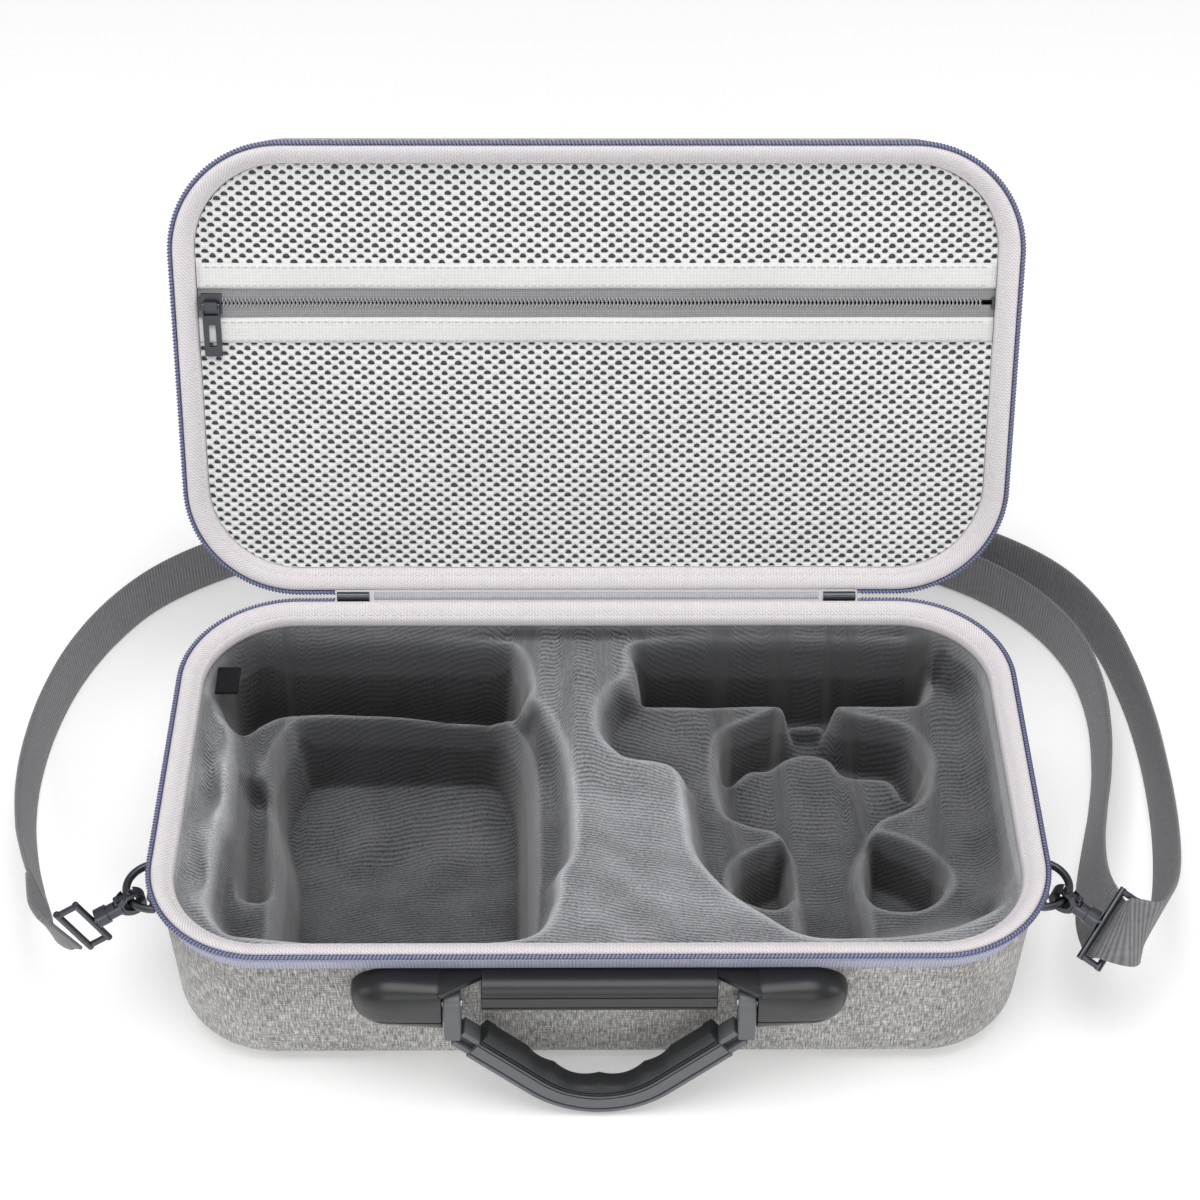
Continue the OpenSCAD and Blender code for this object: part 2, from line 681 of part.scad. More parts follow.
// the rest: left side, behind the lid, right side, through the right ring and
// back along its own inside to the adjuster
strap_route = [
    lay([-211, -33.5, 37.2], [-0.23, 0.12, 0.96]),
    lay([-217, -17, 31], [-0.2, 0.05, 0.98]),
    lay([-223.5, 4, 23], [-0.18, 0, 0.98]),
    lay([-229, 30, 17], [-0.15, 0, 0.99]),
    lay([-231, 56, 14], [-0.12, 0, 0.99]),
    lay([-229, 84, 13], [-0.1, 0, 1]),
    lay([-222.5, 112, 13], [-0.08, 0, 1]),
    lay([-211, 138, 13], [-0.05, 0, 1]),
    lay([-194, 161, 13], [0, 0, 1]),
    lay([-170, 179, 13], [0, 0, 1]),
    lay([-140, 193, 13], [0, 0, 1]),
    lay([-105, 203, 13], [0, 0, 1]),
    lay([-65, 210, 13], [0, 0, 1]),
    lay([-22, 214, 13], [0, 0, 1]),
    lay([22, 215, 13], [0, 0, 1]),
    lay([64, 213, 13], [0, 0, 1]),
    lay([106, 208, 13], [0, 0, 1]),
    lay([144, 199, 13], [0, 0, 1]),
    lay([178, 184, 13], [0, 0, 1]),
    lay([204, 162, 13], [0.05, 0, 1]),
    lay([219, 134, 13], [0.08, 0, 1]),
    lay([226, 102, 13], [0.1, 0, 1]),
    lay([228.5, 70, 14], [0.12, 0, 1]),
    lay([227.5, 38, 17], [0.15, 0, 1]),
    lay([224, 8, 23], [0.2, 0, 0.98]),
    lay([219, -18, 30], [0.28, 0.1, 0.95]),
    lay([213, -39, 38], [0.38, 0.3, 0.87]),
    lay([207, -53, 44], [0.46, 0.5, 0.73]),
    [mid_r + [12.5, -2.5, 2], [0.52, 0.62, 0.58]],
    [mid_r + [5.5, -4.5, 3.6], dir_r],
    [mid_r + [0.8, -1.9, 2], dir_r],
    [mid_r + [-0.4, 1.9, -2.6], dir_r],
    [mid_r + [-1, 9, -6], [0.5, 0.62, 0.6]],
    lay([187, -36, 36.5], [0.42, 0.45, 0.79]),
    lay([190, -16, 31], [0.34, 0.25, 0.9]),
    lay([196, 8, 24], [0.26, 0.1, 0.96]),
    lay([203, 34, 18], [0.2, 0, 0.98]),
    lay([208.5, 62, 14.5], [0.16, 0, 0.99]),
    lay([210.5, 92, 13], [0.12, 0, 1]),
    lay([206, 120, 13], [0.08, 0, 1]),
    lay([193, 145, 13], [0.04, 0, 1]),
    lay([172, 166, 13], [0, 0, 1]),
    lay([144, 182, 13], [0, 0, 1]),
    lay([110, 194, 13], [0, 0, 1]),
    lay([76, 202, 13], [0, 0, 1])
];

function unit(v) = v / norm(v);

// four corners of the webbing at place i of a route
function band_ring(route, i) =
    let (n = len(route), p = route[i][0],
         t = unit(route[min(i + 1, n - 1)][0] - route[max(i - 1, 0)][0]),
         w = unit(route[i][1] - (route[i][1] * t) * t), f = cross(t, w))
    [for (c = [[-1, -1], [1, -1], [1, 1], [-1, 1]]) p + c[0] * strap_w / 2 * w + c[1] * strap_t / 2 * f];

module band(route) {
    n = len(route);
    points = [for (i = [0:n - 1]) for (p = band_ring(route, i)) p];
    sides = [for (i = [0:n - 2]) for (j = [0:3]) let (k = (j + 1) % 4, q = 4 * i)
        for (f = [[q + j, q + k, q + 4 + k], [q + j, q + 4 + k, q + 4 + j]]) f];
    ends = [[3, 2, 1, 0], [4 * n - 4, 4 * n - 3, 4 * n - 2, 4 * n - 1]];
    polyhedron(points, concat(sides, ends), convexity = 10);
}

module strap_left_end() { color("#5a5b5e") band(left_end_route); }

module strap_webbing() { color("#5a5b5e") band(strap_route); }

// three-bar adjuster between the two layers of webbing
module tri_glide() {
    h = strap_w + 3;
    color("#4d4f53") translate([58 * bay_x, 207.6 * bay_y, h / 2 + 1.4]) rotate([0, 0, -6]) {
        for (x = [-11, 0, 11]) translate([x, 0, -h / 2]) cylinder(r = 1.3, h = h);
        for (z = [-h / 2, h / 2]) translate([-11, 0, z]) rotate([0, 90, 0]) cylinder(r = 1.3, h = 22);
        for (x = [-11, 11]) for (z = [-h / 2, h / 2]) translate([x, 0, z]) sphere(1.3);
    }
}

base_shell();
base_rim_binding();
base_zipper_tape();
base_zipper_coil();
base_insert();
insert_tab();
hinge_strip();
handle_housing();
handle_back_plate();
handle_screws();
handle_pivot_pins();
handle_bail();
handle_grip();
left_zipper_slider();
right_zipper_slider();
left_zipper_pull();
right_zipper_pull();
lid_shell();
lid_rim_binding();
lid_zipper_tape();
lid_zipper_coil();
lid_lining();
mesh_panel_upper();
mesh_panel_lower();
pocket_strip_upper();
pocket_strip_lower();
pocket_zipper_tape();
pocket_zipper_coil();
pocket_zipper_stops();
pocket_slider();
pocket_pull();
left_ring_tab();
right_ring_tab();
ring_tab_rivets();
left_d_ring();
right_d_ring();
left_hook();
right_hook();
left_hook_gate();
right_hook_gate();
left_strap_ring();
right_strap_ring();
strap_left_end();
strap_webbing();
tri_glide();
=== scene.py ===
# %% [markdown]
# # A zip carrying case, open on the table
# A rigid case of moulded foam covered in grey cloth. A zip runs round its rim, the lid has a mesh
# pocket, the base holds a moulded insert, and a folding handle and a shoulder strap carry it.
# The imported model gives every part's size and place. This script dresses it: most visible parts are
# surfaces worked out with numpy, in millimetres, and each gets a material named for its real finish.

# %% Load the frame
import math

import bmesh
import bpy
import numpy as np
from mathutils import Matrix, Vector


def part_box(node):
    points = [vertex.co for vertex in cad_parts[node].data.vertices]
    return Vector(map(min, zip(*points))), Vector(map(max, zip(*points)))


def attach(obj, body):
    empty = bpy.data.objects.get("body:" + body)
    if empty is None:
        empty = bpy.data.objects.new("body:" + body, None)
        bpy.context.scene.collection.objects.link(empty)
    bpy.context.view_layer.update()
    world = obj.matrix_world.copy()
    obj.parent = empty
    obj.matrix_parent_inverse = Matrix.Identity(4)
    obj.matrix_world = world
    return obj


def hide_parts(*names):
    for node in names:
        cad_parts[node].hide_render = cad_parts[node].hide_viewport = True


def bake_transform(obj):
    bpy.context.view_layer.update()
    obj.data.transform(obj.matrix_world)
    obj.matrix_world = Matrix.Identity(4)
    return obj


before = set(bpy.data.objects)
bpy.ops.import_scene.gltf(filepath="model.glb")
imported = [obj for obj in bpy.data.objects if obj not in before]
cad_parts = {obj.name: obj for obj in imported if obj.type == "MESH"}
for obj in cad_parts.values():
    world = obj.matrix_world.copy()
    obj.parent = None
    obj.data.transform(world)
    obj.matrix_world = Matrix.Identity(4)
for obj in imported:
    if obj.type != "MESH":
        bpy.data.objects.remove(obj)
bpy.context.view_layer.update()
MM = 0.001
rng = np.random.default_rng(7)

# %% [markdown]
# ## Driving sizes
# The coil of the zip is the widest thing on the rim, so its box gives the case's width and depth.
# The meeting plane of base and lid is a hair above the coil. Everything on the rim is then given
# by two numbers: how far inside the zip it lies, and how far below the meeting plane.

# %% Sizes from the frame
coil_lo, coil_hi = (np.array(c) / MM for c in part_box("base_zipper_coil"))
CASE_W = coil_hi[0] - coil_lo[0] + 0.1
CASE_D = coil_hi[1] - coil_lo[1] + 0.1
RIM_Z = coil_hi[2] + 0.2
CORNER_R = 45.0
LID_OPEN = math.radians(110)
LID_H = 40.0
TAPER = math.tan(math.radians(2.4))
SHELL_INSET = 4.2
EDGE_R = 14.0
WALL = 4.0
HINGE_HALF = 90.0
HINGE_Y = CASE_D / 2


def side(drop):
    """Inset of the shell's outside at a drop below the meeting plane: rim inset + drop x taper."""
    return SHELL_INSET + drop * TAPER


print(f"case {CASE_W:.1f} x {CASE_D:.1f} mm, meeting plane at {RIM_Z:.1f} mm")

# %% [markdown]
# ## The camera
# A product view from the front, looking down at 43 degrees with a 75 mm lens, so that the base's
# inside and the lid's inside both show. It comes first because the strap has to stay in its view.

# %% Camera


def aim_camera(place, pitch, turn, roll, lens):
    """Back vector of the view = (sin t cos p, -cos t cos p, sin p); the side vector is level, then rolled."""
    p, t, r = (math.radians(a) for a in (pitch, turn, roll))
    back = Vector((math.sin(t) * math.cos(p), -math.cos(t) * math.cos(p), math.sin(p)))
    level = Vector((math.cos(t), math.sin(t), 0))
    up = back.cross(level)
    across = level * math.cos(r) + up * math.sin(r)
    up = back.cross(across)
    data = bpy.data.cameras.new("camera")
    data.lens = lens
    data.sensor_width = 36
    data.clip_end = 20
    camera = bpy.data.objects.new("camera", data)
    bpy.context.scene.collection.objects.link(camera)
    basis = Matrix((across, up, back)).transposed().to_4x4()
    camera.matrix_world = Matrix.Translation(Vector(place) * MM) @ basis
    bpy.context.scene.camera = camera


aim_camera(place=(-7.6, -648.6, 762.7), pitch=43.06, turn=-0.7, roll=0.4, lens=75)

# %% [markdown]
# ## Meshes from arrays
# Every new part is a grid of points: a shape with two parameters, rows and columns. The faces of a
# grid follow from its size alone, so one function makes them, and another fills the mesh in bulk.
# The UV map holds real millimetres along the two parameters, so a weave can be set by thread size.

# %% Grid and mesh helpers


def grid_faces(rows, cols, wrap_rows=False, wrap_cols=False):
    """Quads (i,j) (i,j+1) (i+1,j+1) (i+1,j) over a grid that may close on itself."""
    i = np.arange(rows if wrap_rows else rows - 1)[:, None]
    j = np.arange(cols if wrap_cols else cols - 1)[None, :]
    i2, j2 = (i + 1) % rows, (j + 1) % cols
    return np.stack([i * cols + j, i * cols + j2, i2 * cols + j2, i2 * cols + j], -1).reshape(-1, 4)


def grid_uv(u, v):
    """Corner coordinates for grid_faces: u holds one value per row line, v one per column line."""
    u0, u1, v0, v1 = np.broadcast_arrays(u[:-1, None], u[1:, None], v[None, :-1], v[None, 1:])
    return np.stack([u0, v0, u0, v1, u1, v1, u1, v0], -1).reshape(-1, 2)


def put_mesh(name, points, faces, uv=None, smooth=True, outward=True):
    """One object from points in mm and a list of face arrays, each with its own number of corners."""
    faces = [np.asarray(f) for f in (faces if isinstance(faces, list) else [faces])]
    mesh = bpy.data.meshes.new(name)
    points = np.asarray(points, dtype=float).reshape(-1, 3) * MM
    mesh.vertices.add(len(points))
    mesh.vertices.foreach_set("co", points.astype(np.float32).ravel())
    corners = np.concatenate([f.ravel() for f in faces])
    counts = np.concatenate([np.full(len(f), f.shape[1]) for f in faces])
    mesh.loops.add(len(corners))
    mesh.loops.foreach_set("vertex_index", corners.astype(np.int32))
    mesh.polygons.add(len(counts))
    mesh.polygons.foreach_set("loop_start", np.concatenate([[0], np.cumsum(counts)[:-1]]).astype(np.int32))
    if uv is not None:
        layer = mesh.uv_layers.new(name="mm")
        layer.data.foreach_set("uv", (np.asarray(uv).reshape(-1, 2) * MM).astype(np.float32).ravel())
    mesh.update(calc_edges=True)
    mesh.validate()
    if outward:
        shape = bmesh.new()
        shape.from_mesh(mesh)
        bmesh.ops.recalc_face_normals(shape, faces=shape.faces)
        shape.to_mesh(mesh)
        shape.free()
    mesh.shade_smooth() if smooth else mesh.shade_flat()
    piece = bpy.data.objects.new(name, mesh)
    bpy.context.scene.collection.objects.link(piece)
    return piece


def grid_piece(name, points, u, v, wrap_rows=False, wrap_cols=False, caps=False, **options):
    """A grid as one object; caps close the first and last row of a tube with one face each."""
    rows, cols = points.shape[:2]
    faces = [grid_faces(rows, cols, wrap_rows, wrap_cols)]
    uv = grid_uv(np.asarray(u, float), np.asarray(v, float))
    if caps:
        ring = np.arange(cols)
        faces.append(np.stack([ring[::-1], ring + (rows - 1) * cols]))
        uv = np.concatenate([uv, np.zeros((2 * cols, 2))])
    return put_mesh(name, points, faces, uv, **options)


def lengths(points):
    """Running length along a line of points."""
    steps = np.linalg.norm(np.diff(points, axis=0), axis=1)
    return np.concatenate([[0], np.cumsum(steps)])


def round_lengths(loop):
    """Running length round a closed line of points, back to its start."""
    return lengths(np.vstack([loop, loop[:1]]))


def unit(v):
    """Rows scaled to length 1."""
    return v / np.linalg.norm(v, axis=-1, keepdims=True)


def joined(name, parts):
    """Several (points, faces) pairs as one mesh: each part's point numbers are shifted past the last."""
    points, faces, start = [], [], 0
    for p, f in parts:
        p = np.asarray(p, float).reshape(-1, 3)
        points.append(p)
        faces += [np.asarray(one) + start for one in (f if isinstance(f, list) else [f])]
        start += len(p)
    return put_mesh(name, np.concatenate(points), faces)


def copies(points, faces, places):
    """The same small shape at many places: places are rows of (origin, x, y, z) axes, 12 numbers each."""
    frames = np.asarray(places, float).reshape(-1, 4, 3)
    all_points = frames[:, None, 0] + np.einsum("pk,nkd->npd", np.asarray(points, float), frames[:, 1:])
    shift = np.arange(len(frames))[:, None, None] * len(points)
    return all_points.reshape(-1, 3), (np.asarray(faces)[None] + shift).reshape(-1, np.shape(faces)[1])


def smooth_line(points, step, closed=False):
    """Catmull-Rom: between two given points the curve is a cubic with slopes from their neighbours."""
    p = np.asarray(points, float)
    before, after = (p[-1:], p[:2]) if closed else (2 * p[:1] - p[1:2], 2 * p[-1:] - p[-2:-1])
    pad = np.concatenate([before, p, after])
    a, b, c, d = pad[:-3], pad[1:-2], pad[2:-1], pad[3:]
    count = max(2, int(np.linalg.norm(c - b, axis=1)[:, None].max() / step))
    t = np.linspace(0, 1, count, endpoint=False)[None, :, None]
    a, b, c, d = (q[:, None, :] for q in (a, b, c, d))
    curve = 0.5 * (2 * b + (c - a) * t + (2 * a - 5 * b + 4 * c - d) * t**2 + (3 * b - a - 3 * c + d) * t**3)
    curve = curve.reshape(-1, p.shape[1])
    return curve if closed else np.concatenate([curve, p[-1:]])


def spaced(points, step):
    """A line of points at even spacing along the same path."""
    run = lengths(points)
    at = np.linspace(0, run[-1], max(2, int(round(run[-1] / step)) + 1))
    return np.stack([np.interp(at, run, points[:, k]) for k in range(points.shape[1])], -1)

# %% [markdown]
# ## Material helpers
# Colours are written as sRGB hex, as a maker would quote them, and turned to linear once. One
# function adds a node with its settings and links. Patterns read the UV map, which is in real
# length, so a wave of one thread spacing is drawn by scaling the map by 1 / spacing.

# %% Colour and node helpers


def hex_rgb(code):
    """sRGB to linear: c / 12.92 below 0.04045, else ((c + 0.055) / 1.055) ^ 2.4."""
    c = np.array([int(code[k:k + 2], 16) for k in (1, 3, 5)]) / 255
    return (*np.where(c <= 0.04045, c / 12.92, ((c + 0.055) / 1.055) ** 2.4), 1.0)


def add(tree, kind, links=None, **settings):
    """Adds one node. A setting that names an input sets its value; links feed inputs from sockets."""
    node = tree.nodes.new("ShaderNode" + kind)
    for key, value in settings.items():
        if hasattr(node, key):
            setattr(node, key, value)
        else:
            node.inputs[key.replace("_", " ")].default_value = value
    for key, socket in (links or {}).items():
        tree.links.new(socket, node.inputs[key])
    return node


def finish(name, colour, rough, metal=0.0, **shader):
    """A material with one main shader; returns the material, its tree and the shader."""
    material = bpy.data.materials.new(name)
    material.use_nodes = True
    tree = material.node_tree
    bsdf = tree.nodes["Principled BSDF"]
    bsdf.inputs["Base Color"].default_value = hex_rgb(colour)
    bsdf.inputs["Roughness"].default_value = rough
    bsdf.inputs["Metallic"].default_value = metal
    for key, value in shader.items():
        bsdf.inputs[key.replace("_", " ")].default_value = value
    material.diffuse_color = hex_rgb(colour)
    return material, tree, bsdf


def scaled(tree, source, per_mm, turn=0.0):
    """Coordinates multiplied so that 1 unit is one pattern period; per_mm is periods per millimetre."""
    coords = add(tree, "TexCoord")
    return add(tree, "Mapping", {"Vector": coords.outputs[source]}, vector_type="POINT",
               Scale=tuple(s / MM for s in per_mm), Rotation=(0, 0, turn)).outputs[0]


def maths(tree, operation, *values):
    """One math node; sockets are linked and numbers set."""
    node = tree.nodes.new("ShaderNodeMath")
    node.operation = operation
    for k, value in enumerate(values):
        if isinstance(value, (int, float)):
            node.inputs[k].default_value = value
        else:
            tree.links.new(value, node.inputs[k])
    return node.outputs[0]


def blend_colour(tree, factor, first, second):
    """Mixes two colours, given as hex codes or sockets, by a factor socket."""
    node = tree.nodes.new("ShaderNodeMix")
    node.data_type = "RGBA"
    tree.links.new(factor, node.inputs["Factor"])
    for key, value in (("A", first), ("B", second)):
        socket = [s for s in node.inputs if s.name == key and s.type == "RGBA"][0]
        if isinstance(value, str):
            socket.default_value = hex_rgb(value)
        else:
            tree.links.new(value, socket)
    return [s for s in node.outputs if s.type == "RGBA"][0]


def bump(tree, bsdf, height, strength, depth_mm):
    """Feeds a height socket (0 to 1) to the shader's normal; depth_mm is the relief in millimetres."""
    node = add(tree, "Bump", {"Height": height}, Strength=strength, Distance=depth_mm * MM)
    tree.links.new(node.outputs[0], bsdf.inputs["Normal"])


def ripple_of(tree, value, period):
    """0..1 ripple of one value socket: 0.5 + 0.5 sin(2 pi x / period)."""
    angle = maths(tree, "MULTIPLY", value, 2 * math.pi / period)
    return maths(tree, "MULTIPLY_ADD", maths(tree, "SINE", angle), 0.5, 0.5)


def wave(tree, coords, axis, period=1.0):
    """The same ripple along one axis of a vector socket: 0 is u or x, 1 is v or y, 2 is z."""
    return ripple_of(tree, add(tree, "SeparateXYZ", {"Vector": coords}).outputs[axis], period)

# %% [markdown]
# ## The shoulder strap
# A 25 mm band of ribbed webbing, 1.6 mm thick. It stands on its edge on the table and goes round
# behind the lid. At the right it passes through the hook's ring and comes back along its own inside
# to a three-bar adjuster; at the left a short sewn end holds the other ring. A band is a flat
# profile carried along a route, and each point of the route has a given width direction,
# because webbing turns about its own length as it leaves a ring.

# %% Route of the strap
STRAP_W, STRAP_T = 25.0, 1.6
RING_DROP, RING_Y, RING_BOW = 19.0, 44.0, 11.0
HOOK_PITCH, GRAB = math.radians(19), math.radians(-40)
ROLL = {"right": math.radians(31), "left": math.radians(100)}
YAW = {"right": math.radians(-29), "left": math.radians(-20)}
COLLAR = 14.0
RING_IN, RING_OUT, BAR_R = COLLAR + 2, COLLAR + 9.6, 1.3
wall_side_x = CASE_W / 2 - side(RING_DROP)
ring_axis_x = wall_side_x + 3.6
ring_z = RIM_Z - RING_DROP


def hook_frame(hand):
    """Origin on the D-ring's bow and the axes along, across and above the hook, in mm."""
    y, p = YAW[hand], HOOK_PITCH
    origin = np.array([ring_axis_x + RING_BOW * math.cos(GRAB), -RING_Y + RING_BOW * math.sin(GRAB), ring_z])
    along = np.array([math.cos(p) * math.cos(y), math.cos(p) * math.sin(y), -math.sin(p)])
    across = np.array([-math.sin(y), math.cos(y), 0])
    above = np.cross(along, across)
    if hand == "left":
        origin, along, across, above = (v * (-1, 1, 1) for v in (origin, along, across, above))
    return origin, along, across, above


def ring_bar(hand):
    """Direction of the strap ring's bars: the hook's across axis rolled about its length."""
    _, _, across, above = hook_frame(hand)
    return across * math.cos(ROLL[hand]) + above * math.sin(ROLL[hand])


def on_hook(hand, x):
    """A point on the hook's own axis, x mm from the bow."""
    origin, along, _, _ = hook_frame(hand)
    return origin + x * along


mid_right = on_hook("right", (RING_IN + RING_OUT) / 2)
end_left = on_hook("left", RING_OUT + BAR_R + 2.1)
sewn_route = [
    (end_left, ring_bar("left")), ((-200.5, -57.5, 43), (-0.25, -0.22, 0.94)),
    ((-205.5, -51, 41), (-0.26, -0.1, 0.96)), ((-208.5, -43, 39), (-0.25, 0, 0.97)),
    ((-210.7, -35, 37.5), (-0.24, 0.08, 0.97)),
]
strap_route = [
    ((-211, -33.5, 37.2), (-0.23, 0.12, 0.96)), ((-217, -17, 31), (-0.2, 0.05, 0.98)),
    ((-223.5, 4, 23), (-0.18, 0, 0.98)), ((-229, 30, 17), (-0.15, 0, 0.99)),
    ((-231, 56, 14), (-0.12, 0, 0.99)), ((-229, 84, 13), (-0.1, 0, 1)),
    ((-222.5, 112, 13), (-0.08, 0, 1)), ((-211, 138, 13), (-0.05, 0, 1)),
    ((-194, 161, 13), (0, 0, 1)), ((-170, 179, 13), (0, 0, 1)), ((-140, 193, 13), (0, 0, 1)),
    ((-105, 203, 13), (0, 0, 1)), ((-65, 210, 13), (0, 0, 1)), ((-22, 214, 13), (0, 0, 1)),
    ((22, 215, 13), (0, 0, 1)), ((64, 213, 13), (0, 0, 1)), ((106, 208, 13), (0, 0, 1)),
    ((144, 199, 13), (0, 0, 1)), ((178, 184, 13), (0, 0, 1)), ((204, 162, 13), (0.05, 0, 1)),
    ((219, 134, 13), (0.08, 0, 1)), ((226, 102, 13), (0.1, 0, 1)), ((228.5, 70, 14), (0.12, 0, 1)),
    ((227.5, 38, 17), (0.15, 0, 1)), ((224, 8, 23), (0.2, 0, 0.98)), ((219, -18, 30), (0.28, 0.1, 0.95)),
    ((213, -39, 38), (0.38, 0.3, 0.87)), ((207, -53, 44), (0.46, 0.5, 0.73)),
    (mid_right + (12.5, -2.5, 2), (0.52, 0.62, 0.58)), (mid_right + (5.5, -4.5, 3.6), ring_bar("right")),
    (mid_right + (0.8, -1.9, 2), ring_bar("right")), (mid_right + (-0.4, 1.9, -2.6), ring_bar("right")),
    (mid_right + (-1, 9, -6), (0.5, 0.62, 0.6)), ((187, -36, 36.5), (0.42, 0.45, 0.79)),
    ((190, -16, 31), (0.34, 0.25, 0.9)), ((196, 8, 24), (0.26, 0.1, 0.96)), ((203, 34, 18), (0.2, 0, 0.98)),
    ((208.5, 62, 14.5), (0.16, 0, 0.99)), ((210.5, 92, 13), (0.12, 0, 1)), ((206, 120, 13), (0.08, 0, 1)),
    ((193, 145, 13), (0.04, 0, 1)), ((172, 166, 13), (0, 0, 1)), ((144, 182, 13), (0, 0, 1)),
    ((110, 194, 13), (0, 0, 1)), ((76, 202, 13), (0, 0, 1)),
]

# %% [markdown]
# The band's profile is not a plain rectangle: woven webbing has a rounded selvedge, and its weft
# makes a rib across the width every 1.5 mm, so the thickness ripples along the length. The ribs are
# real relief here, 0.25 mm high, because they catch the light along the strap's bends.

# %% Webbing
RIB = 1.5


def webbing(name, route, ribbed=True):
    """Profile: rounded rectangle w x t; place = centre + a width + b thickness; ribs lift b by a sine."""
    centres = np.array([np.asarray(p, float) for p, w in route])
    widths = np.array([np.asarray(w, float) for p, w in route])
    line = spaced(smooth_line(np.hstack([centres, widths]), 2.0), RIB / 4)
    centre, width = line[:, :3], line[:, 3:]
    run = lengths(centre)
    tangent = unit(np.gradient(centre, axis=0))
    width = unit(width - (width * tangent).sum(1, keepdims=True) * tangent)
    face = np.cross(tangent, width)
    half_w, half_t = STRAP_W / 2, STRAP_T / 2 - 0.15
    a = np.array([-1, -0.96, -0.6, 0, 0.6, 0.96, 1, 0.96, 0.6, 0, -0.6, -0.96]) * half_w
    b = np.array([0, 1, 1, 1, 1, 1, 0, -1, -1, -1, -1, -1]) * half_t
    ripple = 0.12 * np.sin(2 * math.pi * run / RIB) if ribbed else 0 * run
    lift = b[None] * (1 + ripple[:, None] / half_t)
    points = centre[:, None] + a[None, :, None] * width[:, None] + lift[..., None] * face[:, None]
    piece = grid_piece(name, points, run, round_lengths(np.stack([a, b], -1)), wrap_cols=True, caps=True)
    print(f"{name}: {run[-1] / 1000:.3f} m long")
    return piece, centre, run[-1]


strap, strap_path, strap_length = webbing("strap_webbing_band", strap_route)
sewn_end, _, _ = webbing("strap_sewn_end", sewn_route)

# %% [markdown]
# ## The rim as a path
# Shell, webbing binding, zip tape and coil all follow one rounded rectangle. A point on the rim is
# a core point plus a radius times the outward direction: the core is the rectangle of the corner
# centres, and only the radius changes with the inset. So every part of the rim shares one path.

# %% Rim path
core_x, core_y = CASE_W / 2 - CORNER_R, CASE_D / 2 - CORNER_R
STRAIGHTS = (
    (0, core_y, -core_x, core_y), (-core_x, core_y, -core_x, -core_y), (-core_x, -core_y, core_x, -core_y),
    (core_x, -core_y, core_x, core_y), (core_x, core_y, 0, core_y),
)


def rim_table(step=0.5):
    """Core point, outward direction and run, from the middle of the hinge round by the left side."""
    core, out = [], []
    for k, (x0, y0, x1, y1) in enumerate(STRAIGHTS):
        count = int(math.hypot(x1 - x0, y1 - y0) / step)
        t = np.linspace(0, 1, count, endpoint=False)
        core.append(np.stack([x0 + (x1 - x0) * t, y0 + (y1 - y0) * t], -1))
        angle = math.pi / 2 * (1 + k)
        out.append(np.tile([math.cos(angle), math.sin(angle)], (count, 1)))
        if k < 4:
            arc = angle + np.linspace(0, math.pi / 2, int(CORNER_R * math.pi / 2 / step), endpoint=False)
            core.append(np.tile([x1, y1], (len(arc), 1)))
            out.append(np.stack([np.cos(arc), np.sin(arc)], -1))
    core, out = np.concatenate(core + [[[0, core_y]]]), np.concatenate(out + [[[0, 1]]])
    return core, out, lengths(core + CORNER_R * out)


rim_core, rim_out, rim_run = rim_table()
PERIMETER = rim_run[-1]


def rim_at(run, inset):
    """Points on the rim: core + (corner radius - inset) x direction, at given runs along it."""
    core = np.stack([np.interp(run, rim_run, rim_core[:, k]) for k in (0, 1)], -1)
    out = unit(np.stack([np.interp(run, rim_run, rim_out[:, k]) for k in (0, 1)], -1))
    return core + (CORNER_R - np.asarray(inset)[..., None]) * out, out


def rim_runs(start=0.0, end=PERIMETER, straight=6.0, corner=2.2):
    """Runs along the rim, closer together in the corners than on the straights."""
    turning = np.concatenate([[0], np.abs(np.diff(np.unwrap(np.arctan2(rim_out[:, 1], rim_out[:, 0]))))])
    density = np.where(turning > 1e-6, 1 / corner, 1 / straight)
    weight = np.cumsum(density * np.gradient(rim_run))
    lo, hi = np.interp([start, end], rim_run, weight)
    return np.interp(np.linspace(lo, hi, int(hi - lo) + 1), weight, rim_run)


def rim_grid(runs, profile):
    """Rows along the rim, columns round the profile of [inset, z] pairs; z is from the meeting plane."""
    profile = np.asarray(profile, float)
    flat, _ = rim_at(runs[:, None], profile[None, :, 0])
    return np.concatenate([flat, np.broadcast_to(profile[None, :, 1:], flat.shape[:2] + (1,))], -1)


def to_base(points):
    """From the meeting plane to the base's place on the table."""
    return points + (0, 0, RIM_Z)


def to_lid(points):
    """The same half turned over: z is mirrored, then turned back about the hinge by the lid's angle."""
    y, z = points[..., 1] - HINGE_Y, -points[..., 2]
    c, s = math.cos(-LID_OPEN), math.sin(-LID_OPEN)
    return np.stack([points[..., 0], HINGE_Y + y * c - z * s, RIM_Z + y * s + z * c], -1)


HALVES = {"base": (to_base, RIM_Z, "base"), "lid": (to_lid, LID_H, "lid")}
print(f"rim {PERIMETER:.0f} mm round")


def rim_ring(name, place, profile, runs=None, **options):
    """A closed profile carried round the whole rim, or between two runs with capped ends."""
    whole = runs is None
    runs = rim_runs()[:-1] if whole else runs
    points = place(rim_grid(runs, profile))
    u = np.append(runs, PERIMETER) if whole else runs
    return grid_piece(name, points, u, round_lengths(profile), wrap_rows=whole, wrap_cols=True,
                      caps=not whole, **options)


# %% [markdown]
# ## The two shells
# Each half is foam pressed between cloths, so its wall is 4 mm thick, leans in by 2.4 degrees and
# turns into the flat face over a 14 mm radius. The outside cloth is one skin. The profile goes from
# the middle of the flat, up the outside, over the rim and down the inside, and the rings shrink on
# to the rectangle of corner centres before one face closes them.

# %% Shells
RIM_DROP, CORE_R = 3.0, 1.5


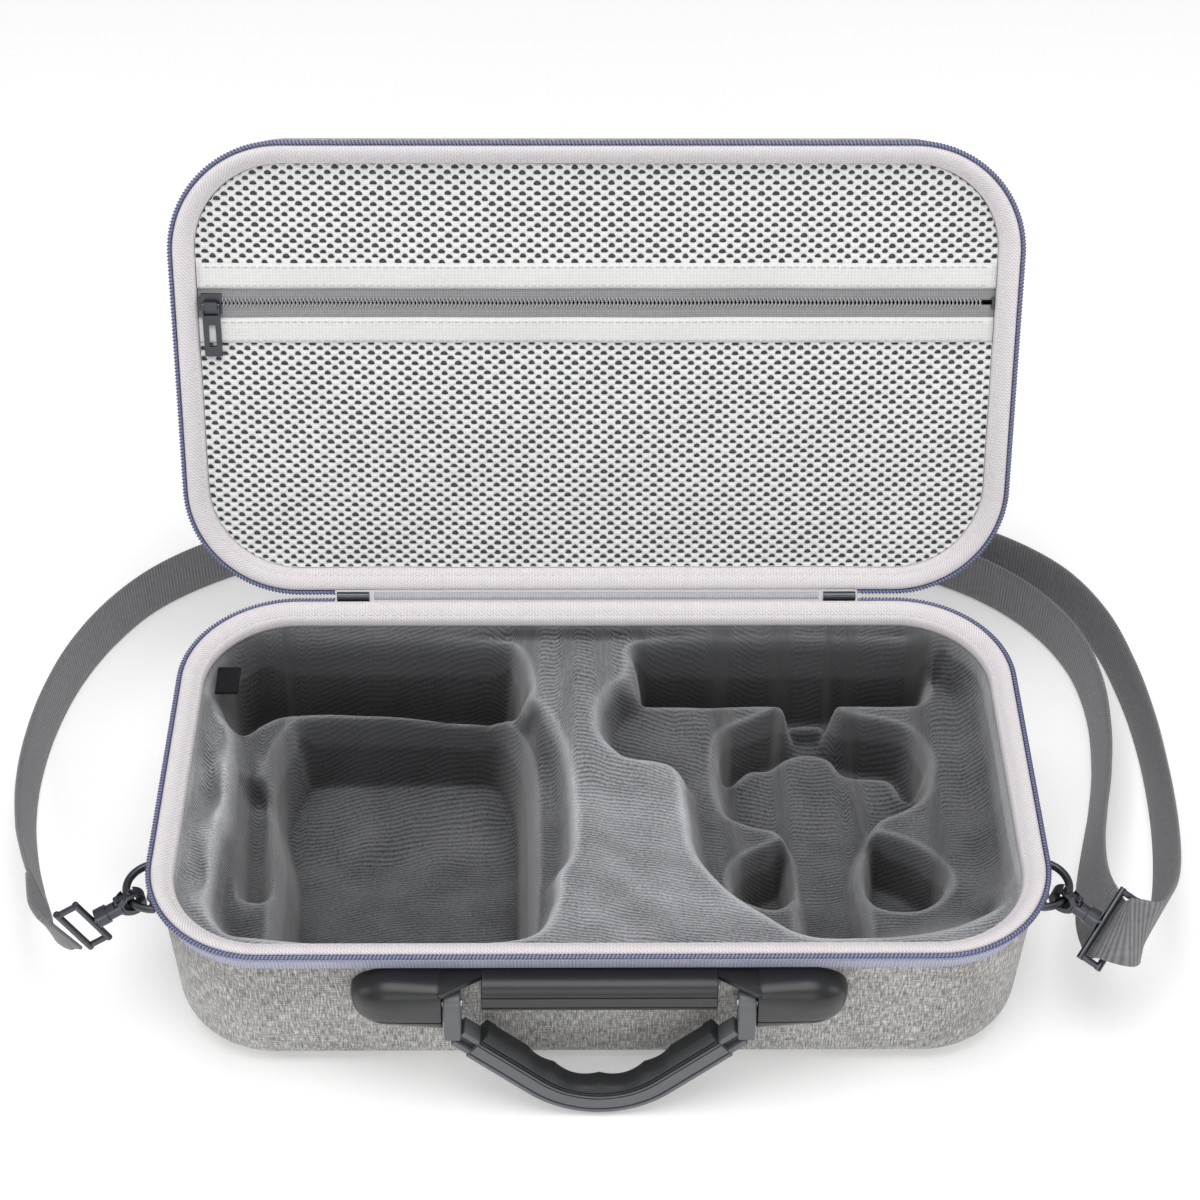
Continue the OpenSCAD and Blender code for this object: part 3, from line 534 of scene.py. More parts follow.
def shell_profile(depth):
    """Arc: inset = edge + R - (R - t) cos a, z = -(depth - R) - (R - t) sin a, for wall depth t."""
    edge = side(depth - EDGE_R)

    def arc(t, angles):
        a, radius = np.radians(angles), EDGE_R - t
        return np.stack([edge + EDGE_R - radius * np.cos(a), EDGE_R - depth - radius * np.sin(a)], -1)

    flat = [(CORNER_R - CORE_R, -depth), (36.0, -depth), (28.0, -depth)]
    drops = np.linspace(depth - EDGE_R, RIM_DROP, 6)[1:-1]
    outer = [(side(d), -d) for d in drops]
    rim = [(side(RIM_DROP), -RIM_DROP - 0.4), (side(RIM_DROP) + 0.4, -RIM_DROP),
           (side(RIM_DROP) + WALL, -RIM_DROP)]
    floor = [(30.0, WALL - depth), (CORNER_R - CORE_R, WALL - depth)]
    outside, inside = arc(0, np.arange(90, -1, -7.5)), arc(WALL, np.arange(0, 91, 15))
    return np.vstack([flat, outside, outer, rim, inside, floor])


def half_shell(half):
    """One skin: the profile on every run along the rim, and one face in the middle, outside and in."""
    place, depth, body = HALVES[half]
    profile = shell_profile(depth)
    runs = rim_runs(straight=12.0)[:-1]
    points = place(rim_grid(runs, profile))
    rows, cols = points.shape[:2]
    faces = grid_faces(rows, cols, wrap_rows=True)
    ring = np.arange(rows) * cols
    caps = np.stack([ring, (ring + cols - 1)[::-1]])
    flat, _ = rim_at(runs, np.full(rows, CORNER_R - CORE_R))
    uv = np.concatenate([grid_uv(np.append(runs, PERIMETER), lengths(profile)), flat, flat[::-1]])
    piece = put_mesh(f"{half}_shell_cloth", points, [faces, caps], uv)
    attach(piece, body)
    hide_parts(f"{half}_shell")
    return piece


shells = [half_shell(half) for half in HALVES]

# %% [markdown]
# ## Rim binding
# A pale twill tape is folded over the raw edge of each shell and sewn through. It crowns a little
# along the middle of the fold and has a hem line near its inner edge, where the stitches pull it in.

# %% Binding and its stitches
BINDING_W = 8.0
binding_out = SHELL_INSET - 2.2
binding_in = side(RIM_DROP) + WALL
BINDING = np.array([
    (binding_out, -2.3), (binding_out + 0.1, -1.3), (binding_out + 0.5, -0.65), (binding_out + 1.3, -0.3),
    (binding_out + 2.6, -0.42), (binding_out + 4.0, -0.95), (binding_out + 5.2, -1.75),
    (binding_out + 5.9, -2.55), (binding_out + 6.35, -3.0), (binding_out + 6.9, -3.25),
    (binding_out + 7.5, -3.9), (binding_out + 7.9, -5.0), (binding_out + BINDING_W, -6.4),
    (binding_out + BINDING_W, -7.5), (binding_in + 0.65, -7.45), (binding_in + 0.45, -5.0),
    (binding_in + 0.2, -2.95), (binding_out + 2.0, -2.92), (binding_out + 0.6, -2.9),
])
STITCH = 3.2
THREAD_RINGS, THREAD_SIDES = 7, 6


def thread_shape(length, radius):
    """A stitch: a six-sided spindle on the x axis, its radius r sqrt(1 - t^2) for t from -1 to 1."""
    t = np.linspace(-1, 1, THREAD_RINGS)[:, None]
    swell = radius * np.sqrt(np.maximum(0.08, 1 - t**2))
    around = np.arange(THREAD_SIDES) * 2 * math.pi / THREAD_SIDES
    points = np.stack(np.broadcast_arrays(t * length / 2, swell * np.cos(around), swell * np.sin(around)), -1)
    return points.reshape(-1, 3), grid_faces(THREAD_RINGS, THREAD_SIDES, wrap_cols=True)


def stitches_at(places, length, radius):
    """Stitches with closed ends at many places: points, and the faces of their sides and ends."""
    shape, sides = thread_shape(length, radius)
    ring = np.arange(THREAD_SIDES)
    ends = np.stack([ring[::-1], ring + len(shape) - THREAD_SIDES])
    points, faces = copies(shape, sides, places)
    return points, [faces, copies(shape, ends, places)[1]]


def row_of_stitches(name, line, up, pitch, radius=0.28, share=0.68):
    """Copies of one stitch along a line: x follows the line, z the surface's direction."""
    run = lengths(line)
    at = np.arange(pitch / 2, run[-1], pitch)

    def along(values):
        return np.stack([np.interp(at, run, values[:, k]) for k in range(3)], -1)

    x = unit(along(np.gradient(line, axis=0)))
    z = unit(along(np.broadcast_to(up, line.shape)))
    y = unit(np.cross(z, x))
    places = np.stack([along(line), x, y, np.cross(x, y)], 1)
    return put_mesh(name, *stitches_at(places, pitch * share, radius))


def binding(half):
    """The folded tape round the rim, and the stitches in its hem."""
    place, _, body = HALVES[half]
    piece = rim_ring(f"{half}_binding_twill", place, BINDING)
    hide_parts(f"{half}_rim_binding")
    runs = rim_runs(straight=3.0)
    line = place(rim_grid(runs, [(binding_out + 6.1, -2.72)]))[:, 0]
    above = place(rim_grid(runs, [(binding_out + 5.3, -1.2)]))[:, 0]
    stitches = row_of_stitches(f"{half}_binding_stitches", line, above - line, STITCH)
    for part in (piece, stitches):
        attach(part, body)
    return piece, stitches


bindings = [binding(half) for half in HALVES]

# %% [markdown]
# ## The zip
# A coil zip: each side is one plastic filament wound round a cord and sewn to a woven tape. The
# filament is a helix, flattened, with a turn every 1.4 mm, carried along the rim. It stops where the
# fabric hinge begins. The tape hangs outside the shell like a skirt and has a bead of thread beside
# the coil.

# %% Coil, cord and tape
COIL_PITCH, COIL_R = 1.4, 1.0
TURN_STEPS, WIRE_SIDES = 10, 6
ZIP_FROM = HINGE_HALF + 16
TAPE_TOP, TAPE_W = -2.5, 8.6


def filament(name, centre, level, other, radius, place=lambda points: points):
    """A tube round a line: place = centre + r (level cos t + other sin t), six-sided, its ends closed."""
    turn = np.arange(WIRE_SIDES) * 2 * math.pi / WIRE_SIDES
    c, s = np.cos(turn)[None, :, None], np.sin(turn)[None, :, None]
    points = centre[:, None] + radius * (level[:, None] * c + other[:, None] * s)
    ring, last = np.arange(WIRE_SIDES), WIRE_SIDES * (len(centre) - 1)
    faces = [grid_faces(len(centre), WIRE_SIDES, wrap_cols=True), np.stack([ring[::-1], ring + last])]
    return put_mesh(name, place(points), faces)


def coil(half):
    """Helix: inset = 1.12 R - 0.78 R cos a, z = -R - 0.25 + 0.7 R sin a, run = pitch a / 2 pi."""
    place, _, body = HALVES[half]
    turns = int((PERIMETER - 2 * ZIP_FROM) / COIL_PITCH)
    a = np.arange(turns * TURN_STEPS) * 2 * math.pi / TURN_STEPS
    run = ZIP_FROM + a / (2 * math.pi) * COIL_PITCH
    inset = COIL_R + 0.12 - 0.78 * COIL_R * np.cos(a)
    z = -0.25 - COIL_R + 0.7 * COIL_R * np.sin(a)
    flat, out = rim_at(run, inset)
    centre = np.column_stack([flat, z])
    tangent = unit(np.gradient(centre, axis=0))
    radial = unit(np.column_stack([out * np.cos(a)[:, None], np.sin(a)]))
    radial = unit(radial - (radial * tangent).sum(1, keepdims=True) * tangent)
    piece = filament(f"{half}_zip_coil", centre, radial, np.cross(tangent, radial), 0.3, place)
    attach(piece, body)
    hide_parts(f"{half}_zipper_coil")
    return piece


def coil_cord(half):
    """The filling cord inside the coil, a slim round tube along the same path."""
    place, _, body = HALVES[half]
    runs = rim_runs(ZIP_FROM, PERIMETER - ZIP_FROM, straight=4.0)
    a = np.arange(8) * math.pi / 4
    profile = np.stack([COIL_R + 0.12 + 0.62 * np.cos(a), -0.25 - COIL_R + 0.55 * np.sin(a)], -1)
    piece = rim_ring(f"{half}_zip_cord", place, profile, runs)
    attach(piece, body)
    return piece


def zip_tape(half):
    """Woven tape with a thread bead by the coil and a thin lower edge laid on the shell."""
    place, _, body = HALVES[half]
    bottom = TAPE_TOP - TAPE_W
    hem = side(-bottom) - 0.12
    x0 = 0.95
    lean = (hem - x0 - 0.5) / TAPE_W
    outer = [(x0 + 0.45, TAPE_TOP + 0.3), (x0 - 0.1, TAPE_TOP - 0.1), (x0 - 0.15, TAPE_TOP - 0.8),
             (x0 + 0.25, TAPE_TOP - 1.3)]
    outer += [(x0 + 0.25 + lean * d + 0.35 * math.sin(math.pi * d / TAPE_W), TAPE_TOP - d)
              for d in (2.2, 3.6, 5.2, 6.8, 7.9)]
    outer += [(hem - 0.55, bottom + 0.1), (hem - 0.1, bottom)]
    inner = [(hem, bottom + 0.4), (x0 + 1.1 + lean * 4.5, TAPE_TOP - 4.5), (x0 + 1.1, TAPE_TOP - 0.2)]
    runs = rim_runs(ZIP_FROM, PERIMETER - ZIP_FROM)
    piece = rim_ring(f"{half}_zip_tape", place, np.array(outer + inner), runs)
    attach(piece, body)
    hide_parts(f"{half}_zipper_tape")
    line_runs = rim_runs(ZIP_FROM + 1, PERIMETER - ZIP_FROM - 1, straight=3.0)
    line = place(rim_grid(line_runs, [(x0 + 0.02, TAPE_TOP - 0.75)]))[:, 0]
    away = place(rim_grid(line_runs, [(x0 - 1.0, TAPE_TOP - 0.75)]))[:, 0]
    stitches = row_of_stitches(f"{half}_zip_stitches", line, away - line, 1.4, radius=0.3, share=0.9)
    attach(stitches, body)
    return piece, stitches


coils = [coil(half) for half in HALVES]
cords = [coil_cord(half) for half in HALVES]
tapes = [zip_tape(half) for half in HALVES]

# %% [markdown]
# ## Finishes of the case's outside
# The cover is a melange cloth: light and dark yarns twisted together, so each thread is a short
# streak. Two noises stretched along warp and weft give the streaks, and a plain-weave checker picks
# which of the two lies on top. The webbing binding is a fine twill, whose raised threads run
# slantwise. Zip tape is woven too, in a lavender grey, and the coil is dark blue nylon.

# %% Cloth and zip materials


def melange_cloth():
    """Streaks 5 mm long and 0.5 mm wide along u and v; a checker of 0.7 mm threads swaps them."""
    material, tree, bsdf = finish("melange polyester cloth", "#8F8E8C", 0.86, Specular_IOR_Level=0.25)
    bsdf.inputs["Sheen Weight"].default_value = 0.15
    uv = scaled(tree, "UV", (1, 1, 1))
    warp = add(tree, "Mapping", {"Vector": uv}, Scale=(1.7, 0.22, 1))
    weft = add(tree, "Mapping", {"Vector": uv}, Scale=(0.2, 1.9, 1), Location=(31, 17, 0))
    streaks = [add(tree, "TexNoise", {"Vector": way.outputs[0]}, Scale=1.0, Detail=3.0, Roughness=0.65)
               .outputs[0] for way in (warp, weft)]
    checker = maths(tree, "MULTIPLY", wave(tree, uv, 0, 1.4), wave(tree, uv, 1, 1.4))
    top = maths(tree, "MULTIPLY_ADD", checker, 0.5, 0.25)
    mixed = add(tree, "Mix", {"Factor": top, "A": streaks[0], "B": streaks[1]}, data_type="FLOAT").outputs[0]
    blot = add(tree, "TexNoise", {"Vector": uv}, Scale=0.03, Detail=2.0).outputs[0]
    shade = maths(tree, "MULTIPLY_ADD", blot, 0.12, maths(tree, "SUBTRACT", mixed, 0.06))
    ramp = add(tree, "ValToRGB", {"Fac": shade})
    stops = ((0.34, "#555453"), (0.45, "#858381"), (0.52, "#A3A19E"), (0.61, "#D0CDC9"))
    for k, (at, code) in enumerate(stops):
        stop = ramp.color_ramp.elements[k] if k < 2 else ramp.color_ramp.elements.new(at)
        stop.position, stop.color = at, hex_rgb(code)
    tree.links.new(ramp.outputs[0], bsdf.inputs["Base Color"])
    bump(tree, bsdf, maths(tree, "ADD", mixed, maths(tree, "MULTIPLY", checker, 0.3)), 0.5, 0.35)
    return material


def twill(name, light, dark, spacing, slant=1.0, depth=0.18, rough=0.85, sheen=0.1):
    """Diagonal ribs: 0.5 + 0.5 sin 2 pi (u + slant v) / spacing, broken by the threads across them."""
    material, tree, bsdf = finish(name, light, rough, Specular_IOR_Level=0.2)
    bsdf.inputs["Sheen Weight"].default_value = sheen
    uv = scaled(tree, "UV", (1, 1, 1))
    parts = add(tree, "SeparateXYZ", {"Vector": uv})
    slope = maths(tree, "MULTIPLY_ADD", parts.outputs[1], slant, parts.outputs[0])
    rib = ripple_of(tree, slope, spacing)
    cross = wave(tree, uv, 0, spacing * 0.8)
    height = maths(tree, "MULTIPLY_ADD", cross, 0.35, maths(tree, "MULTIPLY", rib, 0.65))
    grime = add(tree, "TexNoise", {"Vector": uv}, Scale=0.25, Detail=4.0).outputs[0]
    shade = maths(tree, "MULTIPLY_ADD", grime, 0.35, maths(tree, "MULTIPLY", height, 0.8))
    tree.links.new(blend_colour(tree, shade, dark, light), bsdf.inputs["Base Color"])
    bump(tree, bsdf, height, 0.7, depth)
    return material


def sewing_thread(name, colour):
    """Polyester thread, mercerised: slightly shiny, with its twist too fine to draw."""
    material, _, bsdf = finish(name, colour, 0.55, Specular_IOR_Level=0.35)
    bsdf.inputs["Sheen Weight"].default_value = 0.2
    return material


def moulded_nylon(name, colour, rough=0.38):
    """Extruded nylon filament: a satin surface with a slight change of gloss along it."""
    material, tree, bsdf = finish(name, colour, rough, IOR=1.53)
    coords = scaled(tree, "Object", (0.5, 0.5, 0.5))
    noise = add(tree, "TexNoise", {"Vector": coords}, Scale=1.0, Detail=2.0).outputs[0]
    tree.links.new(maths(tree, "MULTIPLY_ADD", noise, 0.25, rough - 0.12), bsdf.inputs["Roughness"])
    return material


def dress(pieces, material):
    """Gives pieces a material."""
    for piece in pieces if isinstance(pieces, (list, tuple)) else [pieces]:
        piece.data.materials.clear()
        piece.data.materials.append(material)


cloth = melange_cloth()
binding_cloth = twill("polyester twill binding", "#E9E4E6", "#BDB6BA", 1.5)
tape_cloth = twill("lavender woven zip tape", "#B9B9CB", "#8C8DA6", 1.3, slant=0.0)
pale_thread = sewing_thread("pale polyester thread", "#DAD5D8")
blue_thread = sewing_thread("blue-grey polyester thread", "#8587A8")
coil_nylon = moulded_nylon("dark blue nylon coil", "#4A4F70")
cord_cotton = sewing_thread("blue coil cord", "#8A90AE")
dress(shells, cloth)
dress([b[0] for b in bindings], binding_cloth)
dress([b[1] for b in bindings], pale_thread)
dress(coils, coil_nylon)
dress(cords, cord_cotton)
dress([t[0] for t in tapes], tape_cloth)
dress([t[1] for t in tapes], blue_thread)

# %% [markdown]
# The strap is polypropylene webbing: its ribs are real relief, so the material only adds the fine
# warp threads along it and makes the colour a little darker between the ribs.

# %% Strap material


def polypropylene_webbing():
    """Warp threads: 0.5 + 0.5 sin 2 pi v / 0.9 mm across the width; ribs darken where the weft dips."""
    material, tree, bsdf = finish("polypropylene webbing", "#77777A", 0.7, Specular_IOR_Level=0.35)
    bsdf.inputs["Sheen Weight"].default_value = 0.2
    uv = scaled(tree, "UV", (1, 1, 1))
    rib, warp = wave(tree, uv, 0, RIB), wave(tree, uv, 1, 0.9)
    noise = add(tree, "TexNoise", {"Vector": uv}, Scale=0.4, Detail=4.0).outputs[0]
    shade = maths(tree, "MULTIPLY_ADD", rib, 0.55, maths(tree, "MULTIPLY", noise, 0.6))
    tree.links.new(blend_colour(tree, shade, "#4C4C4F", "#8B8B8E"), bsdf.inputs["Base Color"])
    bump(tree, bsdf, maths(tree, "MULTIPLY", warp, rib), 0.6, 0.15)
    return material


webbing_cloth = polypropylene_webbing()
dress([strap, sewn_end], webbing_cloth)
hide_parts("strap_webbing")
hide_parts("strap_left_end")
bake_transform(strap)
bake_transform(sewn_end)

# %% [markdown]
# ## The moulded insert
# Foam covered in knit is pressed into recesses for a small folding aircraft and its controller, so
# every edge is round and every wall leans. Seen from above it has no undercut, so its top is one
# height for each place: a height field. It starts level, and each recess pulls it down to a floor
# inside a drawn outline. The pull grows smoothly over a few millimetres, which is the wall.

# %% Height field tools
GRID = 1.0
INSERT_INSET = 8.9
PLATEAU = RIM_Z - 12


def edge_distance(x, y, outline):
    """Distance to the nearest edge of an outline, positive inside (an even-odd count of crossings)."""
    corners = np.asarray(outline, float)
    nearest, inside = np.full(x.shape, 1e9), np.zeros(x.shape, bool)
    for (ax, ay), (bx, by) in zip(corners, np.roll(corners, -1, axis=0)):
        dx, dy = bx - ax, by - ay
        t = np.clip(((x - ax) * dx + (y - ay) * dy) / (dx * dx + dy * dy), 0, 1)
        nearest = np.minimum(nearest, np.hypot(x - ax - t * dx, y - ay - t * dy))
        if dy:
            inside ^= ((ay > y) != (by > y)) & (x < ax + (y - ay) * dx / dy)
    return np.where(inside, nearest, -nearest)


def step(t):
    """Smooth step: 3 t^2 - 2 t^3 between 0 and 1."""
    t = np.clip(t, 0, 1)
    return t * t * (3 - 2 * t)


def sink(height, floor, *walls):
    """Pulls the height to a floor inside every outline; each wall is (outline, width of its slope)."""
    amount = np.ones_like(height)
    for outline, slope in walls:
        rounded = smooth_line(outline, 3.0, closed=True)
        amount = amount * step(edge_distance(gx, gy, rounded) / slope + 0.35)
    return height + (floor - height) * amount


def soften(values, radius):
    """Gaussian blur along both grid directions, for a radius in mm."""
    reach = int(3 * radius / GRID)
    kernel = np.exp(-0.5 * (np.arange(-reach, reach + 1) * GRID / radius) ** 2)
    kernel /= kernel.sum()
    for axis in (0, 1):
        pad = [(reach, reach) if k == axis else (0, 0) for k in (0, 1)]
        wide = np.pad(values, pad, mode="edge")
        places = np.arange(values.shape[axis])
        values = sum(w * np.take(wide, places + k, axis=axis) for k, w in enumerate(kernel))
    return values


def rim_inset(x, y):
    """How far inside the zip a place lies, and the outward direction there."""
    qx, qy = np.abs(x) - core_x, np.abs(y) - core_y
    cx, cy = np.maximum(qx, 0), np.maximum(qy, 0)
    corner = (qx > 0) & (qy > 0)
    inset = CORNER_R - np.where(corner, np.hypot(cx, cy), np.maximum(qx, qy))
    along_x = qx > qy
    out = np.stack([np.where(corner, cx, along_x), np.where(corner, cy, ~along_x)], -1).astype(float)
    return inset, unit(out + 1e-12) * np.stack([np.sign(x), np.sign(y)], -1)


half_x, half_y = CASE_W / 2 - INSERT_INSET, CASE_D / 2 - INSERT_INSET
gx, gy = np.meshgrid(np.linspace(-half_x, half_x, int(2 * half_x / GRID) + 1),
                     np.linspace(-half_y, half_y, int(2 * half_y / GRID) + 1), indexing="ij")
print("insert grid", gx.shape)

# %% [markdown]
# The left half holds the controller: a shelf, a deep recess, a trench behind it and a narrow well.
# The right half holds the aircraft: a shelf, a star for its body, a trench and two corner wells. The
# cloth is loose along the left edge, where a few soft dents and rolls show.

# %% Recesses
LEFT_CAVITY = [
    (-140, 77), (-100, 78), (-44, 77), (-33, 73), (-29, 60), (-28, 46), (-22, 40), (-14, 18),
    (-11, -8), (-11, -32), (-16, -43), (-17, -57), (-26, -72), (-60, -75), (-119, -73),
    (-139, -64), (-142, -40), (-140, 0), (-142, 30), (-150, 44), (-153, 64),
]
LEFT_TRENCH = [
    (-148, 67), (-138, 76), (-100, 77), (-44, 76), (-33, 70), (-30, 58), (-31, 51), (-60, 52),
    (-93, 54), (-120, 54), (-134, 48), (-141, 42), (-148, 52),
]
CONTROLLER = [
    (-127, 12), (-126, 27), (-121, 41), (-114, 47), (-85, 48), (-51, 48), (-38, 45), (-30, 31),
    (-27, 10), (-26, -30), (-26, -62), (-31, -69), (-70, -70), (-114, -69), (-118, -62),
    (-120, -20), (-124, -2),
]
SIDE_WELL = [
    (-138, 13), (-127, 13), (-125, -12), (-123, -41), (-134, -41), (-137, -12),
]
AIRCRAFT = [
    (15, 66), (20, 76), (75, 77), (132, 76), (144, 70), (152, 55), (158, 20), (158, -20),
    (156, -45), (142, -62), (120, -72), (90, -73), (74, -71), (61, -62), (49, -51), (40, -38),
    (36, -27), (34, -5), (33, 7), (27, 14), (14, 16), (8, 20), (2, 30), (2, 42), (7, 52), (13, 57),
]
RIGHT_SLOPE = [
    (-40, 90), (140, 90), (157, 50), (158, 20), (160, -10), (160, -30), (152, -48), (140, -66),
    (-40, -90),
]
RIGHT_TRENCH = [
    (18, 70), (21, 76), (75, 77), (129, 76), (133, 70), (130, 62), (122, 60), (75, 60), (22, 60),
    (18, 63),
]
STAR = [
    (78, 66), (76, 57), (66, 50), (53, 43), (49, 36), (47, 22), (48, 8), (51, 0), (60, -5),
    (69, -8), (73, -16), (74, -36), (75, -52), (77, -68), (97, -68), (98, -45), (98, -28),
    (103, -12), (108, -2), (118, 3), (127, 11), (129, 28), (125, 41), (117, 47), (101, 50),
    (95, 56), (93, 66),
]
CRESCENT = [
    (49, 30), (51, 41), (66, 50), (77, 57), (79, 64), (92, 64), (95, 56), (100, 51), (117, 46),
    (125, 40), (129, 26), (122, 20), (117, 31), (100, 34), (94, 43), (84, 46), (75, 43), (68, 37),
    (60, 36), (53, 29),
]
FRONT_WELLS = ([(72, -17), (74, -35), (66, -46), (53, -40), (51, -33), (55, -25), (64, -19)],
               [(104, -14), (112, -14), (124, -22), (131, -34), (121, -46), (105, -45), (101, -32)])
DENTS = (
    (-148, -5, -5, 6), (-146, 14, 2, 5), (-149, -24, 1.6, 6), (-147, -44, -3, 5),
    (-146, 30, -2, 5), (-141, -16, 2, 4), (-149, -58, 2, 5), (-131, -54, 1.5, 6),
    (-133, 24, 1.8, 4),
)
LEVELS = dict(shelf=46, trench=18, controller=13, side=34, aircraft=44, star=30)
SKIRT = ((20, 0.985), (9, 0.93))
# Painted light and shade on the insert: its level top is painted lighter, less to the back, and front-facing
# walls, steep slopes and pits are painted darker as shade.
HIGH_FROM, PAINTED_TOP_LIGHT, PAINTED_LIGHT_BACK_FADE, PAINTED_FRONT_WALL_SHADE, PAINTED_SLOPE_SHADE, PIT_SHADE_DEPTH = 48, 1.45, 0.55, 0.68, 0.15, 34


def insert_height():
    """The plateau, sunk at each recess, with loose dents and a fine ripple, and level at its border."""
    z = np.full(gx.shape, float(PLATEAU))
    z = sink(z, LEVELS["shelf"], (LEFT_CAVITY, 7))
    z = sink(z, LEVELS["trench"], (LEFT_TRENCH, 7))
    z = sink(z, LEVELS["controller"], (CONTROLLER, 8))
    z = sink(z, LEVELS["side"], (SIDE_WELL, 6))
    z = sink(z, LEVELS["aircraft"], (AIRCRAFT, 8), (RIGHT_SLOPE, 26))
    z = sink(z, LEVELS["trench"], (RIGHT_TRENCH, 5))
    z = sink(z, LEVELS["star"], (STAR, 6))
    z = sink(z, LEVELS["trench"], (CRESCENT, 6))
    for outline in FRONT_WELLS:
        z = sink(z, LEVELS["trench"], (outline, 6))
    for x, y, lift, radius in DENTS:
        z += lift * np.exp(-((gx - x) ** 2 / (0.6 * radius**2) + (gy - y) ** 2 / (2 * radius**2)))
    ripple = soften(rng.normal(0, 1, gx.shape), 5.0)
    z += ripple / ripple.std() * 0.22 * (1 + 2.5 * step((-120 - gx) / 15))
    inset, _ = rim_inset(gx, gy)
    z = soften(z, 0.95)
    return z + (RIM_Z - 7.3 - z) * step(1 - (inset - INSERT_INSET) / 4.5)


def paint_light_and_shade(z):
    """Painted light and shade, a factor on the knit's colour: flat high cloth painted up to 2.45 times lighter,
    less to the back; walls facing the front painted down to 0.32 as shade.

    Factor = (1 + high) x (1 - 0.68 climb / steep) x e^(-pit / 34), the last term a painted shade in pits.
    The slopes are differences of the height field, and a pit is how far a place lies below its own blur.
    """
    rise, climb = np.gradient(z, axis=0) / GRID, np.gradient(z, axis=1) / GRID
    steep = np.sqrt(1 + rise**2 + climb**2)
    high = step((soften(z, 1.5) - HIGH_FROM) / (PLATEAU - HIGH_FROM))
    high = high * (1.0 - PAINTED_LIGHT_BACK_FADE * step((gy + 30) / 100))
    front_wall = np.maximum(climb, 0) / steep
    pit = np.maximum(soften(z, 9.0) - z, 0)
    painted_wall_shade = (1 - PAINTED_FRONT_WALL_SHADE * front_wall) * (1 - PAINTED_SLOPE_SHADE * (1 - 1 / steep))
    return (1 + PAINTED_TOP_LIGHT * high) * painted_wall_shade * np.exp(-pit / PIT_SHADE_DEPTH)


def insert_piece():
    """Keeps the grid's faces inside the outline, draws the loose corners on to it, and closes the block."""
    z = insert_height()
    inset, out = rim_inset(gx, gy)
    pull = np.maximum(INSERT_INSET - inset, 0)[..., None]
    flat = np.stack([gx, gy], -1) - out * pull
    faces = grid_faces(*gx.shape)
    used = (inset.ravel()[faces] >= INSERT_INSET - 0.02).any(1)
    faces = faces[used]
    keep = np.zeros(gx.size, bool)
    keep[faces] = True
    number = np.cumsum(keep) - 1
    points = np.concatenate([flat, z[..., None]], -1).reshape(-1, 3)
    down = np.cumsum(np.abs(np.diff(z, axis=1, prepend=z[:, :1])), axis=1)
    stretch = 0.55 * (down - 0.4 * np.abs(gy)) + 7 * np.sin(gx / 38) + 0.12 * np.abs(gx)
    cloth_uv = np.stack([gx, gy + stretch], -1).reshape(-1, 2)
    # edge marks convex edges for a painted highlight; the second layer holds the painted light and shade factor.
    edge, painted_light_shade = z - soften(z, 2.0), paint_light_and_shade(z)
    piece = put_mesh("insert_knit", points[keep], number[faces], cloth_uv[faces], outward=False)
    for layer_name, values in (("edge", edge), ("painted_light_shade", painted_light_shade)):
        layer = piece.data.attributes.new(layer_name, "FLOAT", "POINT")
        layer.data.foreach_set("value", values.ravel()[keep].astype(np.float32))
    shape = bmesh.new()
    shape.from_mesh(piece.data)
    rim = [e for e in shape.edges if e.is_boundary]
    for height, scale in SKIRT:
        made = bmesh.ops.extrude_edge_only(shape, edges=rim)["geom"]
        rim = [e for e in made if isinstance(e, bmesh.types.BMEdge)]
        for vert in [v for v in made if isinstance(v, bmesh.types.BMVert)]:
            vert.co = (vert.co.x * scale, vert.co.y * scale, height * MM)
    bmesh.ops.contextual_create(shape, geom=rim)
    bmesh.ops.recalc_face_normals(shape, faces=shape.faces)
    shape.to_mesh(piece.data)
    shape.free()
    piece.data.shade_smooth()
    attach(piece, "base")
    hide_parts("base_insert")
    print("insert faces", len(piece.data.polygons))
    return piece


insert = insert_piece()
